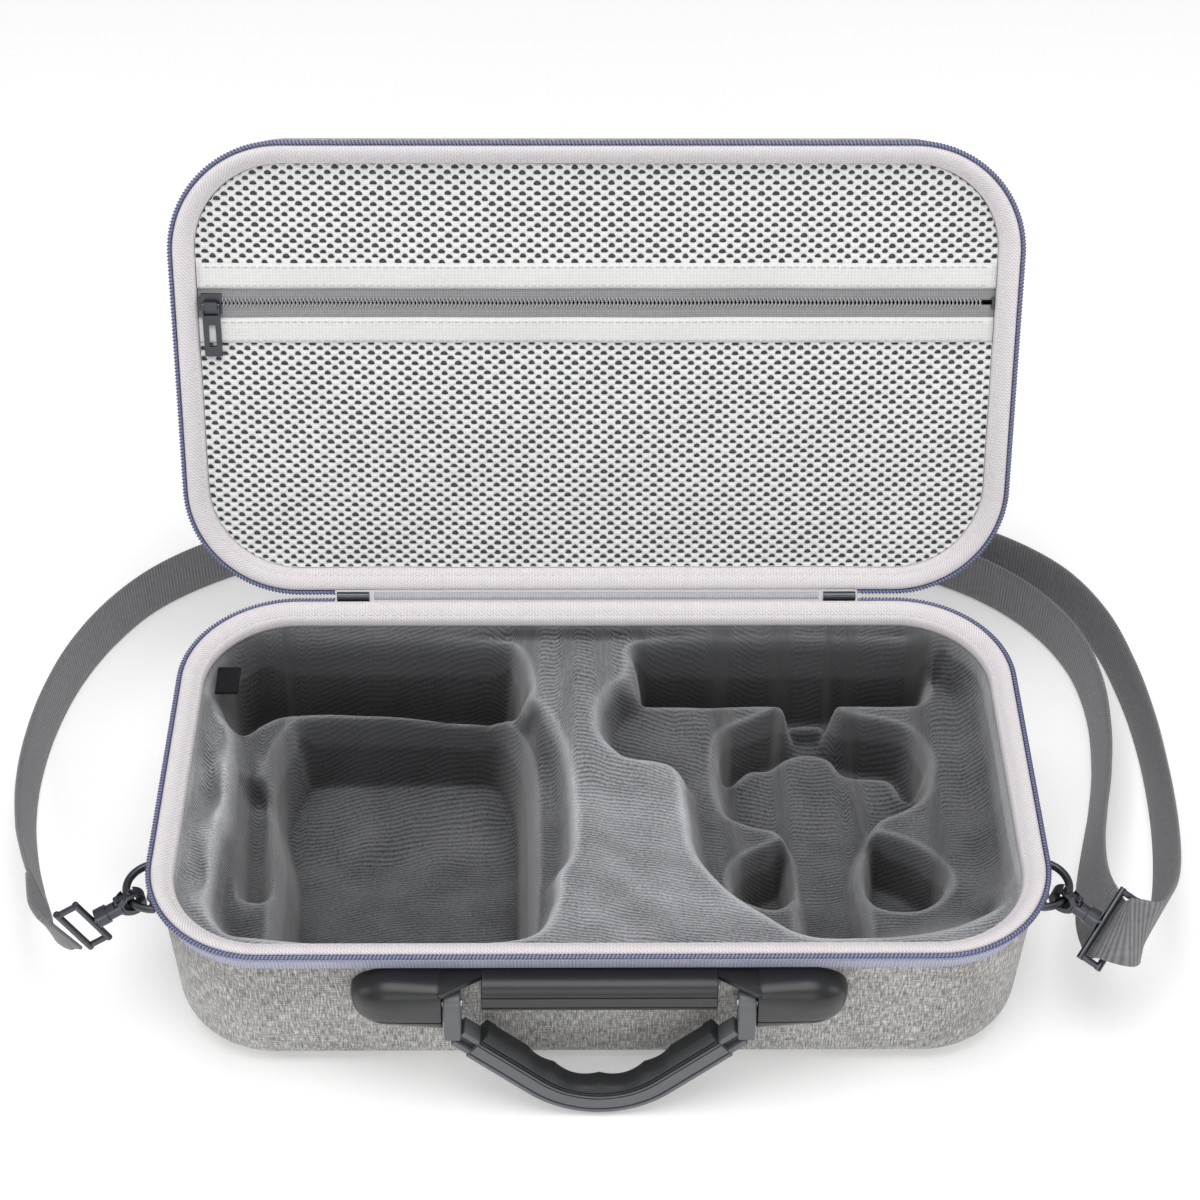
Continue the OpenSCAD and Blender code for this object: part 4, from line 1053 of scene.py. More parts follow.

# %% [markdown]
# The cover is a warp knit: fine ribs with a brushed pile face. Real ribs are about 0.5 mm apart; they are
# drawn 1.7 mm apart so that they show. Light and shade are painted into its colour: the level top is
# painted lighter, less to the back, and front-facing walls, steep slopes and pits are painted darker as
# shade; convex edges get a painted pale highlight. Two attributes on the mesh carry this: one marks the
# edges, the other holds the painted light and shade.

# %% Knit


def brushed_knit(name, dark, light, pale, pitch=1.7):
    """Ribs: 0.5 + 0.5 sin 2 pi (v + wander) / pitch, wander a slow noise of 3 mm, stitches along them."""
    material, tree, bsdf = finish(name, light, 0.92, Specular_IOR_Level=0.15)
    bsdf.inputs["Sheen Weight"].default_value = 0.35
    bsdf.inputs["Sheen Roughness"].default_value = 0.5
    uv = scaled(tree, "UV", (1, 1, 1))
    parts = add(tree, "SeparateXYZ", {"Vector": uv})
    drift = add(tree, "TexNoise", {"Vector": uv}, Scale=0.02, Detail=2.0).outputs[0]
    v = maths(tree, "MULTIPLY_ADD", drift, 16.0, parts.outputs[1])
    rib = ripple_of(tree, v, pitch)
    loops = wave(tree, uv, 0, 1.1)
    fuzz = add(tree, "TexNoise", {"Vector": uv}, Scale=0.9, Detail=5.0, Roughness=0.7).outputs[0]
    blotch = add(tree, "TexNoise", {"Vector": uv}, Scale=0.045, Detail=3.0).outputs[0]
    stitches = maths(tree, "MULTIPLY", maths(tree, "MULTIPLY", loops, rib), 0.2)
    height = maths(tree, "MULTIPLY_ADD", rib, 0.6, stitches)
    height = maths(tree, "MULTIPLY_ADD", fuzz, 0.35, height)
    shade = maths(tree, "MULTIPLY_ADD", fuzz, 0.75, maths(tree, "MULTIPLY", blotch, 0.35))
    shade = maths(tree, "MULTIPLY_ADD", rib, 0.2, shade)
    shade = maths(tree, "MULTIPLY_ADD", shade, 1.9, -0.8)
    cloth_colour = blend_colour(tree, shade, dark, light)
    # Painted highlight: where the edge layer marks a convex edge, the colour blends towards the pale colour.
    edge = add(tree, "Attribute", attribute_name="edge").outputs["Fac"]
    lift = add(tree, "MapRange", {"Value": edge}, To_Max=0.3)
    lift.inputs["From Min"].default_value = 0.12
    lift.inputs["From Max"].default_value = 1.1
    painted_edge_highlight = maths(tree, "MULTIPLY", lift.outputs[0], maths(tree, "MULTIPLY_ADD", fuzz, 0.8, 0.5))
    # Painted light and shade: the colour is scaled by the mesh's painted factor, dark on front walls and in pits,
    # pale on the level top.
    painted_light_shade = add(tree, "Attribute", attribute_name="painted_light_shade").outputs["Fac"]
    with_painted_highlight = blend_colour(tree, painted_edge_highlight, cloth_colour, pale)
    lit = add(tree, "VectorMath", {"Vector": with_painted_highlight, "Scale": painted_light_shade}, operation="SCALE")
    tree.links.new(lit.outputs[0], bsdf.inputs["Base Color"])
    bump(tree, bsdf, height, 0.75, 0.3)
    return material


# The third colour is the painted highlight on convex edges.
knit = brushed_knit("brushed warp knit", "#27282B", "#7B7C80", "#B0B1B5")
dress(insert, knit)

# %% [markdown]
# ## Inside the lid
# The lid holds a flat pocket of spacer mesh: two panels, each edged with a white tape, and a zip
# between them. A place on the lid is x, a distance from the hinge, and a drop below the rim.
# The mesh has real holes: its cells form a staggered lattice, and each cell is a hexagon with a
# half-moon hole, joined by rings of quads whose height rises from the hole to a rounded strand.

# %% Pocket mesh
PANEL_INSET, PANEL_DROP = 10.2, 6.0
ZIP_S, ZIP_W, STRIP_W = 121.0, 12.0, 10.0
CELL_X, CELL_Y = 5.7, 2.05
CELL_EDGE = np.array([
    (2.318, 0), (1.7, 1.02), (1.082, 2.05), (0, 2.05), (-1.082, 2.05), (-1.7, 1.02), (-2.318, 0),
    (-1.7, -1.02), (-1.082, -2.05), (0, -2.05), (1.082, -2.05), (1.7, -1.02),
])
CELL_HOLE = np.array([
    (1.85, -0.25), (1.5, 0.5), (0.85, 1.05), (0, 1.25), (-0.85, 1.05), (-1.5, 0.5), (-1.85, -0.25),
    (-1.4, -0.72), (-0.75, -0.86), (0, -0.9), (0.75, -0.86), (1.4, -0.72),
])


def in_lid(x, s, drop):
    """From x, distance from the hinge and drop below the rim to the open lid's place."""
    return to_lid(np.stack(np.broadcast_arrays(x, HINGE_Y - s, -np.asarray(drop, float)), -1))


def pocket_wave(x, s):
    """The pocket is slack: slow waves a few tenths of a millimetre high."""
    return 0.35 * np.sin(x / 17 + s / 31) * np.sin(s / 13 - x / 47) + 0.2 * np.sin(x / 9.0 - s / 7.0)


def mesh_panel(name, s_from, s_to):
    """Each cell is four rings of 12 points: its hexagon, a rounded strand, the hole's edge and its depth.

    The hexagon is CELL_X wide at the pitch and 4.1 mm high, and the hole is a flat-bottomed oval in it.
    """
    reach = CASE_W / 2 - PANEL_INSET
    rows = np.arange(math.floor((s_from - 2) / CELL_Y), math.ceil((s_to + 2) / CELL_Y))
    cols = np.arange(-int(reach / CELL_X) - 1, int(reach / CELL_X) + 2)
    i, j = (a.ravel() for a in np.meshgrid(rows, cols, indexing="ij"))
    centre = np.stack([(j + 0.5 * (i % 2)) * CELL_X, i * CELL_Y], -1)
    inside = rim_inset(centre[:, 0], HINGE_Y - centre[:, 1])[0] > PANEL_INSET - 1.5
    centre = centre[inside & (centre[:, 1] > s_from - 2) & (centre[:, 1] < s_to + 2)]
    outer, hole = CELL_EDGE[None] * (CELL_X / 6.8, 1), CELL_HOLE[None] * (0.8, 0.96)
    size = rng.uniform(0.84, 1.06, (len(centre), 1, 2))
    shove = rng.normal(0, 0.09, (len(centre), 1, 2))
    holes = hole * size + shove
    rings = (outer + 0 * holes, outer * 0.4 + holes * 0.6, holes, holes * 0.97)
    depth = (0.0, 0.08, 0.55, 1.5)
    flat = np.stack([centre[:, None] + ring for ring in rings], 1)
    x, s = flat[..., 0], np.clip(flat[..., 1], s_from, s_to)
    inset, out = rim_inset(x, HINGE_Y - s)
    pull = np.maximum(PANEL_INSET - inset, 0)
    x, s = x - out[..., 0] * pull, s + out[..., 1] * pull
    drop = PANEL_DROP + np.array(depth)[None, :, None] + pocket_wave(x, s)
    points = in_lid(x, s, drop).reshape(-1, 3)
    corners = len(CELL_EDGE)
    cell = grid_faces(len(rings), corners, wrap_cols=True)
    faces = (cell[None] + np.arange(len(centre))[:, None, None] * len(rings) * corners).reshape(-1, 4)
    flat_uv = np.stack([x, s], -1).reshape(-1, 2)
    piece = put_mesh(name, points, faces, flat_uv[faces], outward=False)
    shape = bmesh.new()
    shape.from_mesh(piece.data)
    bmesh.ops.remove_doubles(shape, verts=shape.verts, dist=2e-5)
    bmesh.ops.dissolve_degenerate(shape, edges=shape.edges, dist=1e-6)
    shape.to_mesh(piece.data)
    shape.free()
    piece.data.shade_smooth()
    print(f"{name}: {len(centre)} holes, {len(piece.data.polygons)} faces")
    return piece


zip_low, zip_high = ZIP_S - ZIP_W / 2, ZIP_S + ZIP_W / 2
mesh_lower = mesh_panel("pocket_mesh_lower", 8.0, zip_low - STRIP_W + 0.6)
mesh_upper = mesh_panel("pocket_mesh_upper", zip_high + STRIP_W - 0.6, CASE_D - PANEL_INSET)
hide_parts("mesh_panel_lower")
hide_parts("mesh_panel_upper")

# %% [markdown]
# Behind the holes lies the mesh's own back layer, coloured dark as painted shade seen through the holes, and the
# lid's lining behind the pocket.

# %% Back layer


def mesh_back(name, s_from, s_to):
    """A sheet on a grid in x and s, drawn in to the lid's outline, 0.4 mm thick."""
    reach = CASE_W / 2 - PANEL_INSET
    s_count = max(12, int((s_to - s_from) / 3))
    x, s = np.meshgrid(np.linspace(-reach, reach, 90), np.linspace(s_from, s_to, s_count), indexing="ij")
    inset, out = rim_inset(x, HINGE_Y - s)
    pull = np.maximum(PANEL_INSET - inset, 0)
    x, s = x - out[..., 0] * pull, s + out[..., 1] * pull
    sheets = [in_lid(x, s, PANEL_DROP + d + pocket_wave(x, s)) for d in (1.9, 2.3)]
    rows, cols = x.shape
    face = grid_faces(rows, cols)
    number = np.arange(rows * cols).reshape(rows, cols)
    edge = np.concatenate([number[0], number[1:, -1], number[-1, -2::-1], number[-2:0:-1, 0]])
    after, count = np.roll(edge, -1), rows * cols
    walls = np.stack([edge, after, after + count, edge + count], -1)
    faces = np.concatenate([face, face[:, ::-1] + count, walls])
    points = np.concatenate([p.reshape(-1, 3) for p in sheets])
    flat = np.stack([x, s], -1).reshape(-1, 2)
    return put_mesh(name, points, faces, np.concatenate([flat, flat])[faces])


backs = [mesh_back("pocket_back_lower", 9.0, zip_low - 2),
         mesh_back("pocket_back_upper", zip_high + 2, CASE_D - PANEL_INSET)]

# %% [markdown]
# The white tapes are folded once, so their edges are round, and two rows of stitches hold each. The
# grey zip tapes carry a coil like the rim's, with a groove between the two sides.

# %% Tapes, stitches and the pocket's zip


def lid_band(name, s_from, s_to, top, thick, crown=0.15, half=None):
    """Profile: a flat band with half-round edges, raised by crown x sin along its width; path: straight x."""
    half = CASE_W / 2 - PANEL_INSET - 0.1 if half is None else half
    t = np.linspace(0, 1, 13)
    across = s_from + (s_to - s_from) * t
    from_edge = np.minimum(t, 1 - t) * (s_to - s_from) / (thick / 2)
    round_edge = np.sqrt(1 - np.clip(1 - from_edge, 0, 1) ** 2)
    upper = top + thick / 2 - thick / 2 * round_edge - crown * np.sin(math.pi * t)
    lower = top + thick / 2 + thick / 2 * round_edge
    profile_s = np.concatenate([across, across[-2:0:-1]])
    profile_d = np.concatenate([upper, lower[-2:0:-1]])
    x = np.linspace(-half, half, 120)
    s = np.broadcast_to(profile_s, (120, len(profile_s)))
    drop = profile_d[None] + pocket_wave(x[:, None], s)
    points = in_lid(np.broadcast_to(x[:, None], s.shape), s, drop)
    around = round_lengths(np.column_stack([profile_s, profile_d]))
    return grid_piece(name, points, x, around, wrap_cols=True, caps=True)


def lid_stitches(name, s_list, top, half):
    """Rows of stitches along x, joined in one piece."""
    x = np.arange(-half, half, 2.0)
    up = in_lid(0, 0, 0) - in_lid(0, 0, 1)
    made = []
    for s in s_list:
        line = in_lid(x, np.full_like(x, s), top + pocket_wave(x, np.full_like(x, s)))
        run = lengths(line)
        at = np.arange(1.5, run[-1], 3.0)
        place = np.stack([np.interp(at, run, line[:, k]) for k in range(3)], -1)
        axis_x = np.tile([1.0, 0, 0], (len(at), 1))
        axis_z = np.tile(unit(up), (len(at), 1))
        places = np.stack([place, axis_x, np.cross(axis_z, axis_x), axis_z], 1)
        made.append(stitches_at(places, 2.0, 0.26))
    return joined(name, made)


strip_lower = lid_band("pocket_strip_lower_tape", zip_low - STRIP_W, zip_low + 0.3, PANEL_DROP - 0.75, 1.6)
strip_upper = lid_band("pocket_strip_upper_tape", zip_high - 0.3, zip_high + STRIP_W, PANEL_DROP - 0.75, 1.6)
stitch_rows = (zip_low - 1.3, zip_low - 8.6, zip_high + 1.3, zip_high + 8.6)
strip_stitches = lid_stitches("pocket_strip_stitches", stitch_rows, PANEL_DROP - 0.9, 152)
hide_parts("pocket_strip_lower")
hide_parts("pocket_strip_upper")
tape_lower = lid_band("pocket_tape_lower", zip_low - 0.6, ZIP_S - 0.9, PANEL_DROP + 0.5, 0.9, 0.3)
tape_upper = lid_band("pocket_tape_upper", ZIP_S + 0.9, zip_high + 0.6, PANEL_DROP + 0.5, 0.9, 0.3)
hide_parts("pocket_zipper_tape")


POCKET_COIL_HALF, POCKET_PITCH = 150, 1.5


def pocket_coil(name, side_sign):
    """Half of the coil: a flattened helix, s = zip +- (0.95 + 0.85 cos a), height 0.55 sin a."""
    turns = int(2 * POCKET_COIL_HALF / POCKET_PITCH)
    a = np.arange(turns * TURN_STEPS) * 2 * math.pi / TURN_STEPS
    x = -POCKET_COIL_HALF + a / (2 * math.pi) * POCKET_PITCH
    s = ZIP_S + side_sign * (0.95 + 0.85 * np.cos(a))
    centre = in_lid(x, s, PANEL_DROP + 0.35 - 0.55 * np.sin(a) + pocket_wave(x, s))
    tangent = unit(np.gradient(centre, axis=0))
    level = unit(np.cross(tangent, [1.0, 0, 0.001]))
    return filament(name, centre, level, np.cross(tangent, level), 0.27)


pocket_coils = [pocket_coil("pocket_coil_lower", -1), pocket_coil("pocket_coil_upper", 1)]
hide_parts("pocket_zipper_coil")
pocket_pieces = [mesh_lower, mesh_upper, *backs, strip_lower, strip_upper, strip_stitches,
                 tape_lower, tape_upper, *pocket_coils]
for piece in pocket_pieces:
    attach(piece, "lid")

# %% [markdown]
# The white mesh is polyester filament, slightly glossy where it is taut. The back layer is coloured dark as
# painted shade for the depth behind the holes.

# %% Lid materials


def woven_tape(name, light, dark, pitch, depth=0.12, sheen=0.15):
    """Warp and weft: the product of two ripples one thread apart."""
    material, tree, bsdf = finish(name, light, 0.82, Specular_IOR_Level=0.25)
    bsdf.inputs["Sheen Weight"].default_value = sheen
    uv = scaled(tree, "UV", (1, 1, 1))
    weave = maths(tree, "MULTIPLY", wave(tree, uv, 0, pitch), wave(tree, uv, 1, pitch))
    noise = add(tree, "TexNoise", {"Vector": uv}, Scale=0.5, Detail=4.0).outputs[0]
    shade = maths(tree, "MULTIPLY_ADD", noise, 0.6, maths(tree, "MULTIPLY", weave, 0.6))
    tree.links.new(blend_colour(tree, shade, dark, light), bsdf.inputs["Base Color"])
    bump(tree, bsdf, weave, 0.6, depth)
    return material


white_mesh = woven_tape("white polyester spacer mesh", "#F2F2F1", "#D2D3D2", 0.8, 0.1)
# Painted shade: the back layer's dark grey stands for the shade seen through the mesh's holes.
back_painted_shade = woven_tape("dark spacer mesh back", "#77797C", "#46484A", 1.2)
white_tape = woven_tape("white polyester edging tape", "#EAEAE9", "#CFCFCE", 1.3)
grey_tape = woven_tape("grey woven zip tape", "#A3A3A4", "#7B7C7E", 1.1)
grey_nylon = moulded_nylon("grey nylon coil", "#ABABAD")
white_thread = sewing_thread("white polyester thread", "#C4C4C3")
dress([mesh_lower, mesh_upper], white_mesh)
dress(backs, back_painted_shade)
dress([strip_lower, strip_upper], white_tape)
dress(strip_stitches, white_thread)
dress([tape_lower, tape_upper], grey_tape)
dress(pocket_coils, grey_nylon)

# %% [markdown]
# ## The folding handle
# A moulded housing is screwed to the front wall: two rounded caps, a ribbed bar between them and two
# gussets. The bail turns on pins between the caps. Its arms are channels, and its bow carries a hard
# outer band and a soft inner grip with hollows for the fingers. Each is a profile along a path.

# %% Profile along a path
WALL_Y, HOUSING_Z = -(CASE_D / 2 - side(22.5)), RIM_Z - 22.5
pin_lo, pin_hi = (np.array(c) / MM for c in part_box("handle_pivot_pins"))
PIVOT_Y, PIVOT_Z = (pin_lo[1] + pin_hi[1]) / 2, (pin_lo[2] + pin_hi[2]) / 2
LEAN = math.radians(2.4)
BAIL_OUT, BAIL_R, BOW_R, BOW_A = math.radians(9.5), 50.0, 40.0, math.radians(40)
CAP_IN, HOUSING_HALF, CAP_H, CAP_T, BAR_HALF = 56.0, 89.0, 22.0, 13.0, 42.0
ARM_END = (CAP_IN - 0.3 - BOW_R * math.sin(BOW_A)) / math.cos(BOW_A)


def on_wall(x, y, z):
    """From x along the wall, y into it and z up, to the case's frame: a turn by the wall's lean."""
    x, y, z = np.broadcast_arrays(x, y, z)
    c, s = math.cos(LEAN), math.sin(LEAN)
    return np.stack([x, WALL_Y + y * c - z * s, HOUSING_Z + y * s + z * c], -1)


def on_bail(x, b, r):
    """From x, depth b across the bail and distance r below its pivot: a turn by its outward lean."""
    x, b, r = np.broadcast_arrays(x, b, r)
    c, s = math.cos(-BAIL_OUT), math.sin(-BAIL_OUT)
    return np.stack([x, PIVOT_Y + b * c + r * s, PIVOT_Z + b * s - r * c], -1)


def crisp(piece, angle=35):
    """Smooth shading, but edges sharper than the angle stay crisp."""
    piece.data.shade_smooth()
    piece.data.set_sharp_from_angle(angle=math.radians(angle))
    return piece


def loft(name, points, u, section, angle=35):
    """Rows of one closed section as a capped tube; u runs along it, and v round the section."""
    return crisp(grid_piece(name, points, u, round_lengths(section), wrap_cols=True, caps=True), angle)


def bow(u, offset):
    """Arc of radius R - offset for |u| <= R a, then straight arms; returns x and distance below the pivot."""
    edge = BOW_R * BOW_A
    a = np.clip(u, -edge, edge) / BOW_R
    arm = np.maximum(np.abs(u) - edge, 0)
    radius = BOW_R - offset
    x = radius * np.sin(a) + np.sign(u) * arm * math.cos(BOW_A)
    r = BAIL_R - BOW_R + radius * np.cos(a) - arm * math.sin(BOW_A)
    return x, r


def along_bow(name, section, u, scallop=False):
    """A closed section of [offset from the outer edge, depth] pairs carried along the bow."""
    section = np.asarray(section, float)
    offset = np.broadcast_to(section[:, 0], (len(u), len(section))).copy()
    if scallop:
        x = np.abs(bow(u, 13.0)[0])
        hollow = np.where(x < 16, 1.7 * np.abs(np.sin(math.pi * x / 16)),
                          np.where(x < 25.5, 1.3 * np.abs(np.sin(math.pi * (x - 16) / 9.5)), 0))
        offset -= hollow[:, None] * step((offset - 9.5) / 2.6)
    x, r = bow(u[:, None], offset)
    points = on_bail(x, np.broadcast_to(section[:, 1], x.shape), r)
    return loft(name, points, u, section)


def merged(name, pieces):
    """Joins finished pieces into the first one and names it."""
    for piece in bpy.context.selected_objects:
        piece.select_set(False)
    for piece in pieces:
        piece.select_set(True)
    bpy.context.view_layer.objects.active = pieces[0]
    bpy.ops.object.join()
    pieces[0].name = pieces[0].data.name = name
    return pieces[0]


# %% [markdown]
# The band's front and back have a groove near the grip, a flat, and a second groove above the lip.
# The grip is softer and rounder, with two fine beads where it meets the band. The sleeve ends in a
# collar, from which the narrower arms run up into the caps.

# %% Bail and grip


def both_faces(front):
    """A section from its front half: the back half is the same with the depth turned round."""
    front = np.asarray(front, float)
    return np.vstack([front, front[::-1] * (1, -1)])


SLEEVE_END = BOW_R * BOW_A + ARM_END * 0.74
BAND = both_faces([
    (8.0, -4.3), (7.7, -4.75), (7.3, -4.75), (7.15, -4.2), (6.75, -4.2), (6.6, -4.8), (2.5, -4.8),
    (2.35, -4.1), (1.9, -4.1), (1.75, -4.85), (0.7, -4.85), (0.15, -4.5), (0.0, -3.6),
])
GRIP = both_faces([
    (13.0, -1.5), (12.8, -3.0), (12.2, -4.0), (11.3, -4.5), (10.2, -4.65), (9.75, -4.65),
    (9.6, -4.2), (9.35, -4.2), (9.2, -4.8), (8.8, -4.8), (8.65, -4.3), (8.45, -4.3), (8.3, -4.75),
    (8.02, -4.6),
])
CHANNEL = both_faces([
    (8.6, -3.9), (8.4, -4.2), (6.6, -4.2), (6.4, -3.9), (6.4, -1.4), (3.0, -1.4), (3.0, -3.9),
    (2.8, -4.2), (1.0, -4.2), (0.8, -3.9),
])


def bail_pieces():
    """Band with arms and lugs, and grip with collars, as two merged pieces."""
    u = np.linspace(-SLEEVE_END, SLEEVE_END, 181)
    band = along_bow("handle_band", BAND, u)
    grip = along_bow("handle_grip_rubber", GRIP, u, scallop=True)
    collars = [along_bow("collar", GRIP * (1, 1.06) + (0.3, 0), np.linspace(*ends, 5))
               for ends in ((-SLEEVE_END - 0.4, -SLEEVE_END + 3.2), (SLEEVE_END - 3.2, SLEEVE_END + 0.4))]
    arms = [along_bow("arm", CHANNEL, sign * np.linspace(SLEEVE_END - 1, BOW_R * BOW_A + ARM_END - 2.6, 8))
            for sign in (-1, 1)]
    a = np.linspace(0, math.pi, 13)
    outline = np.concatenate([np.stack([5 * np.cos(a), -5 * np.sin(a)], -1),
                              [(-5, 3), (-4.2, 11), (-4.2, 14.5), (4.2, 14.5), (4.2, 11), (5, 3)]])
    lugs = []
    for sign in (-1, 1):
        x = sign * np.array([49.4, 49.9, 55.2, 55.6])
        shrink = np.array([0.9, 1, 1, 0.9])
        points = on_bail(x[:, None], outline[None, :, 0] * shrink[:, None], outline[None, :, 1] * shrink[:, None])
        lugs.append(loft("lug", points, x, outline))
    bail = merged("handle_bail_band", [band, *arms, *lugs])
    grip = merged("handle_grip_rubber", [grip, *collars])
    for piece, node in ((bail, "handle_bail"), (grip, "handle_grip")):
        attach(piece, "handle")
        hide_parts(node)
    return bail, grip


bail, grip = bail_pieces()

# %% [markdown]
# A cap is a rounded box whose outer end closes like a bullet: the section is a superellipse, and it
# shrinks by sqrt(1 - t^2) over the last 11 mm. A groove runs along its lower third.

# %% Housing


def cap(sign):
    """Section: y = -T |sin a|^p, z = H/2 |cos a|^p with its sign; p rises from a squarer 0.36 to 0.62 outwards."""
    end = np.linspace(0, math.pi / 2, 14)
    x = np.concatenate([[CAP_IN + 0.15, CAP_IN + 0.5], np.linspace(CAP_IN + 3, HOUSING_HALF - 15, 6),
                        HOUSING_HALF - 15 + 15 * np.sin(end[1:])])
    shrink = np.concatenate([[0.97], np.ones(7), np.maximum(np.cos(end[1:]) ** 0.85, 0.02)])
    half = np.array([1, 0.9995, 0.998, 0.99, 0.97, 0.93, 0.85, 0.72, 0.58, 0.42, 0.25, 0.1])
    groove_at = -np.array([4.1, 4.4, 4.6, 5.0, 5.2, 5.5]) / (CAP_H / 2)
    share = np.sort(np.concatenate([half, [0], -half, groove_at]))[::-1]
    power = 0.36 + 0.26 * np.clip((x[:, None] - CAP_IN) / 18, 0, 1)
    a = np.arccos(np.sign(share) * np.abs(share) ** (1 / power))
    z = CAP_H / 2 * np.sign(np.cos(a)) * np.abs(np.cos(a)) ** power
    y = -CAP_T * np.maximum(np.sin(a), 0) ** power
    depth, height = shrink[:, None] ** 0.8 * y, shrink[:, None] * z
    on_front = (np.abs(depth) > 6) & (x[:, None] < HOUSING_HALF - 9)
    groove = 0.7 * np.exp(-((height + 4.8) / 0.3) ** 4) * on_front
    points = on_wall(sign * x[:, None], depth + groove, height)
    return loft("cap", points, x, np.stack([y[0], z[0]], -1), 50)


def housing():
    """The ribbed bar, two caps and two gussets as one moulding."""
    bar = np.array([
        (0.1, 11), (-4, 11.2), (-7, 10.8), (-9, 9.7), (-10.1, 8.2), (-10.4, 6.9), (-9.7, 6.6), (-9.7, 6.2),
        (-10.5, 5.9), (-10.7, 1.6), (-10.0, 1.3), (-10.0, 0.9), (-10.7, 0.6), (-10.6, -0.2), (-10.2, -0.5),
        (0.1, -0.5),
    ])
    x = np.array([-1, -0.992, 0.992, 1]) * BAR_HALF
    shrink = np.array([0.97, 1, 1, 0.97])
    points = on_wall(x[:, None], bar[None, :, 0] * shrink[:, None], bar[None, :, 1] * shrink[:, None])
    pieces = [loft("bar", points, x, bar)]
    for sign in (-1, 1):
        flat = np.array([(CAP_IN + 1, 0), (CAP_IN + 1, -CAP_T + 1.4), (CAP_IN, -CAP_T + 1.2),
                         (CAP_IN - 1.2, -CAP_T + 2), (BAR_HALF - 6, 0)])
        z = np.array([8.4, 8.6, 10.4, 10.6])
        points = on_wall(sign * flat[None, :, 0], flat[None, :, 1], z[:, None])
        pieces += [cap(sign), loft("gusset", points, z, flat)]
    piece = merged("handle_housing_moulding", pieces)
    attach(piece, "base")
    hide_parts("handle_housing")
    return piece


housing_piece = housing()

# %% [markdown]
# Housing and band are injection-moulded nylon with a fine spark-eroded grain; the grip is a soft
# elastomer, duller and darker.

# %% Handle materials


def moulded_grain(name, colour, rough, grain_mm, depth_mm, coat=0.0):
    """Spark-eroded grain: a noise one grain wide in the bump, and a slow change of gloss."""
    material, tree, bsdf = finish(name, colour, rough, IOR=1.5)
    bsdf.inputs["Coat Weight"].default_value = coat
    bsdf.inputs["Coat Roughness"].default_value = 0.25
    coords = scaled(tree, "Object", (1, 1, 1))
    grain = add(tree, "TexNoise", {"Vector": coords}, Scale=1 / grain_mm, Detail=3.0).outputs[0]
    slow = add(tree, "TexNoise", {"Vector": coords}, Scale=0.06, Detail=2.0).outputs[0]
    tree.links.new(maths(tree, "MULTIPLY_ADD", slow, 0.16, rough - 0.08), bsdf.inputs["Roughness"])
    bump(tree, bsdf, grain, 0.5, depth_mm)
    return material


dress(housing_piece, moulded_grain("black moulded nylon", "#1E1F21", 0.36, 0.45, 0.05, 0.1))
dress(bail, moulded_grain("dark grey moulded nylon", "#5C5F63", 0.36, 0.45, 0.05))
dress(grip, moulded_grain("soft elastomer", "#25272A", 0.5, 0.6, 0.04))

# %% [markdown]
# ## Hardware and small parts
# Rings, hooks and sliders are cast zinc with a black nickel plate: dark, and bright only where a
# light reflects. These parts keep the frame's own shapes and take a finish for what they are.

# %% Finishes of the kept parts


def black_nickel(name, colour, rough):
    """Plated casting: a metal with a slow cloud in its gloss from polishing, and fine pits."""
    material, tree, bsdf = finish(name, colour, rough, metal=1.0)
    coords = scaled(tree, "Object", (1, 1, 1))
    cloud = add(tree, "TexNoise", {"Vector": coords}, Scale=0.25, Detail=4.0).outputs[0]
    tree.links.new(maths(tree, "MULTIPLY_ADD", cloud, 0.3, rough - 0.1), bsdf.inputs["Roughness"])
    bump(tree, bsdf, cloud, 0.2, 0.05)
    return material


def plain_weave(name, light, dark, pitch):
    """The tape's weave on Object coordinates, for kept parts, which have no map."""
    material, tree, bsdf = finish(name, light, 0.85, Specular_IOR_Level=0.2)
    coords = scaled(tree, "Object", (1, 1, 1))
    across = maths(tree, "ADD", wave(tree, coords, 1, pitch), wave(tree, coords, 2, pitch))
    weave = maths(tree, "MULTIPLY", wave(tree, coords, 0, pitch), across)
    noise = add(tree, "TexNoise", {"Vector": coords}, Scale=0.5, Detail=4.0).outputs[0]
    shade = maths(tree, "MULTIPLY_ADD", noise, 0.6, maths(tree, "MULTIPLY", weave, 0.4))
    tree.links.new(blend_colour(tree, shade, dark, light), bsdf.inputs["Base Color"])
    bump(tree, bsdf, weave, 0.6, 0.15)
    return material


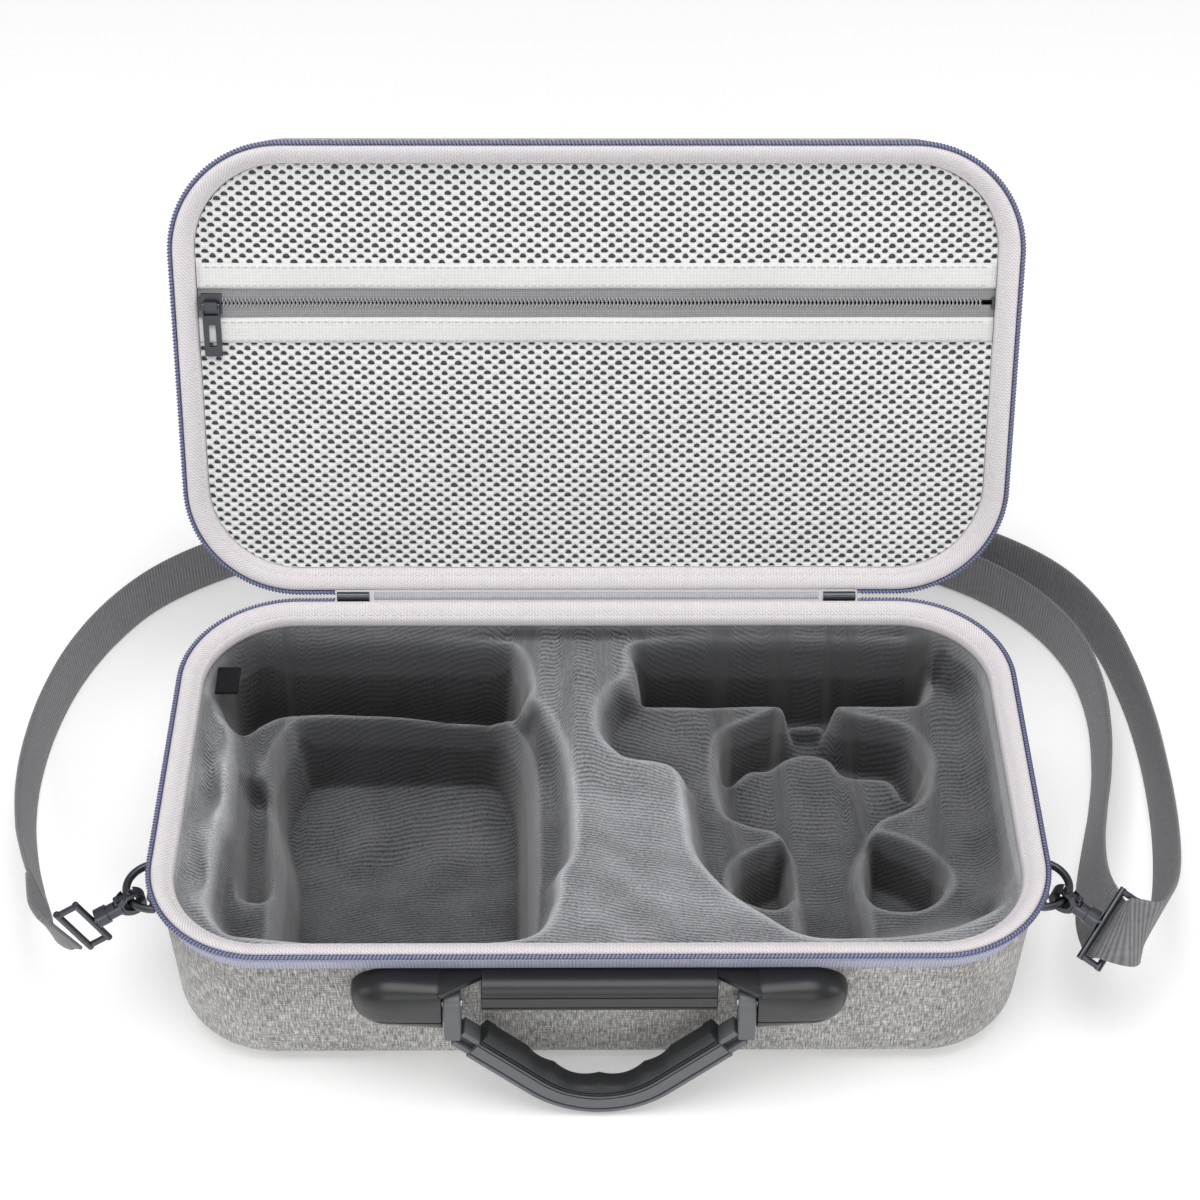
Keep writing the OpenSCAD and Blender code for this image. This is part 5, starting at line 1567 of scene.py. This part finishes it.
gunmetal = black_nickel("black nickel plate", "#55575C", 0.28)
steel = black_nickel("bright zinc plate", "#B5B6B8", 0.3)
kept = {
    gunmetal: ("left_d_ring", "right_d_ring", "left_hook", "right_hook", "left_hook_gate", "right_hook_gate",
               "left_strap_ring", "right_strap_ring", "pocket_slider", "pocket_pull", "pocket_zipper_stops",
               "left_zipper_slider", "right_zipper_slider", "left_zipper_pull", "right_zipper_pull", "tri_glide"),
    steel: ("handle_screws", "handle_pivot_pins", "ring_tab_rivets"),
    plain_weave("grey vinyl tab", "#A2A2A3", "#808082", 0.9): ("left_ring_tab", "right_ring_tab"),
    plain_weave("black hook-and-loop tab", "#242427", "#0E0E10", 0.9): ("insert_tab",),
    plain_weave("pale hinge cloth", "#C3C2C9", "#9A99A2", 1.1): ("hinge_strip",),
    plain_weave("dark lining board", "#56575A", "#3E3F42", 1.4): ("lid_lining",),
    moulded_grain("black back plate", "#1E1F21", 0.45, 0.5, 0.05): ("handle_back_plate",),
}
for material, names in kept.items():
    for name in names:
        node = bpy.data.objects[name]
        node.data.materials.clear()
        node.data.materials.append(material)
print("kept parts", sum(len(names) for names in kept.values()))

# %% [markdown]
# ## Floor and light
# A pale seamless floor, a large soft light from above and in front, and a weaker one at each side,
# so that the dark insert keeps its shape and the metal has something to reflect.

# %% Stage
FLOOR_HALF = 4000


def stage_floor():
    """A level square, a little self-lit so that it stays white to its far edge."""
    corners = FLOOR_HALF * np.array([(-1, -1, 0), (1, -1, 0), (1, 1, 0), (-1, 1, 0)])
    piece = put_mesh("floor", corners, [np.array([[0, 1, 2, 3]])], smooth=False, outward=False)
    material, _, bsdf = finish("matt white paper", "#F4F4F4", 0.9, Specular_IOR_Level=0.1)
    bsdf.inputs["Emission Color"].default_value = hex_rgb("#FFFFFF")
    bsdf.inputs["Emission Strength"].default_value = 0.22
    piece.data.materials.append(material)


def area_light(name, place, size, power, aim=(0, 60, 60)):
    """A square soft light at a place in mm, facing a point of the object."""
    data = bpy.data.lights.new(name, "AREA")
    data.size = size * MM
    data.energy = power
    light = bpy.data.objects.new(name, data)
    bpy.context.scene.collection.objects.link(light)
    light.location = Vector(place) * MM
    light.rotation_euler = (Vector(aim) * MM - light.location).to_track_quat("-Z", "Y").to_euler()


stage_floor()
area_light("top softbox", (0, -100, 1300), 1000, 10.0)
area_light("front softbox", (0, -1300, 700), 900, 4.5)
area_light("left softbox", (-1200, -100, 600), 700, 2.6)
area_light("right softbox", (1200, -100, 600), 700, 2.6)
world = bpy.data.worlds.new("studio")
bpy.context.scene.world = world
world.use_nodes = True
world.node_tree.nodes["Background"].inputs[0].default_value = hex_rgb("#FFFFFF")
world.node_tree.nodes["Background"].inputs[1].default_value = 0.42
bpy.context.scene.view_settings.view_transform = "Standard"
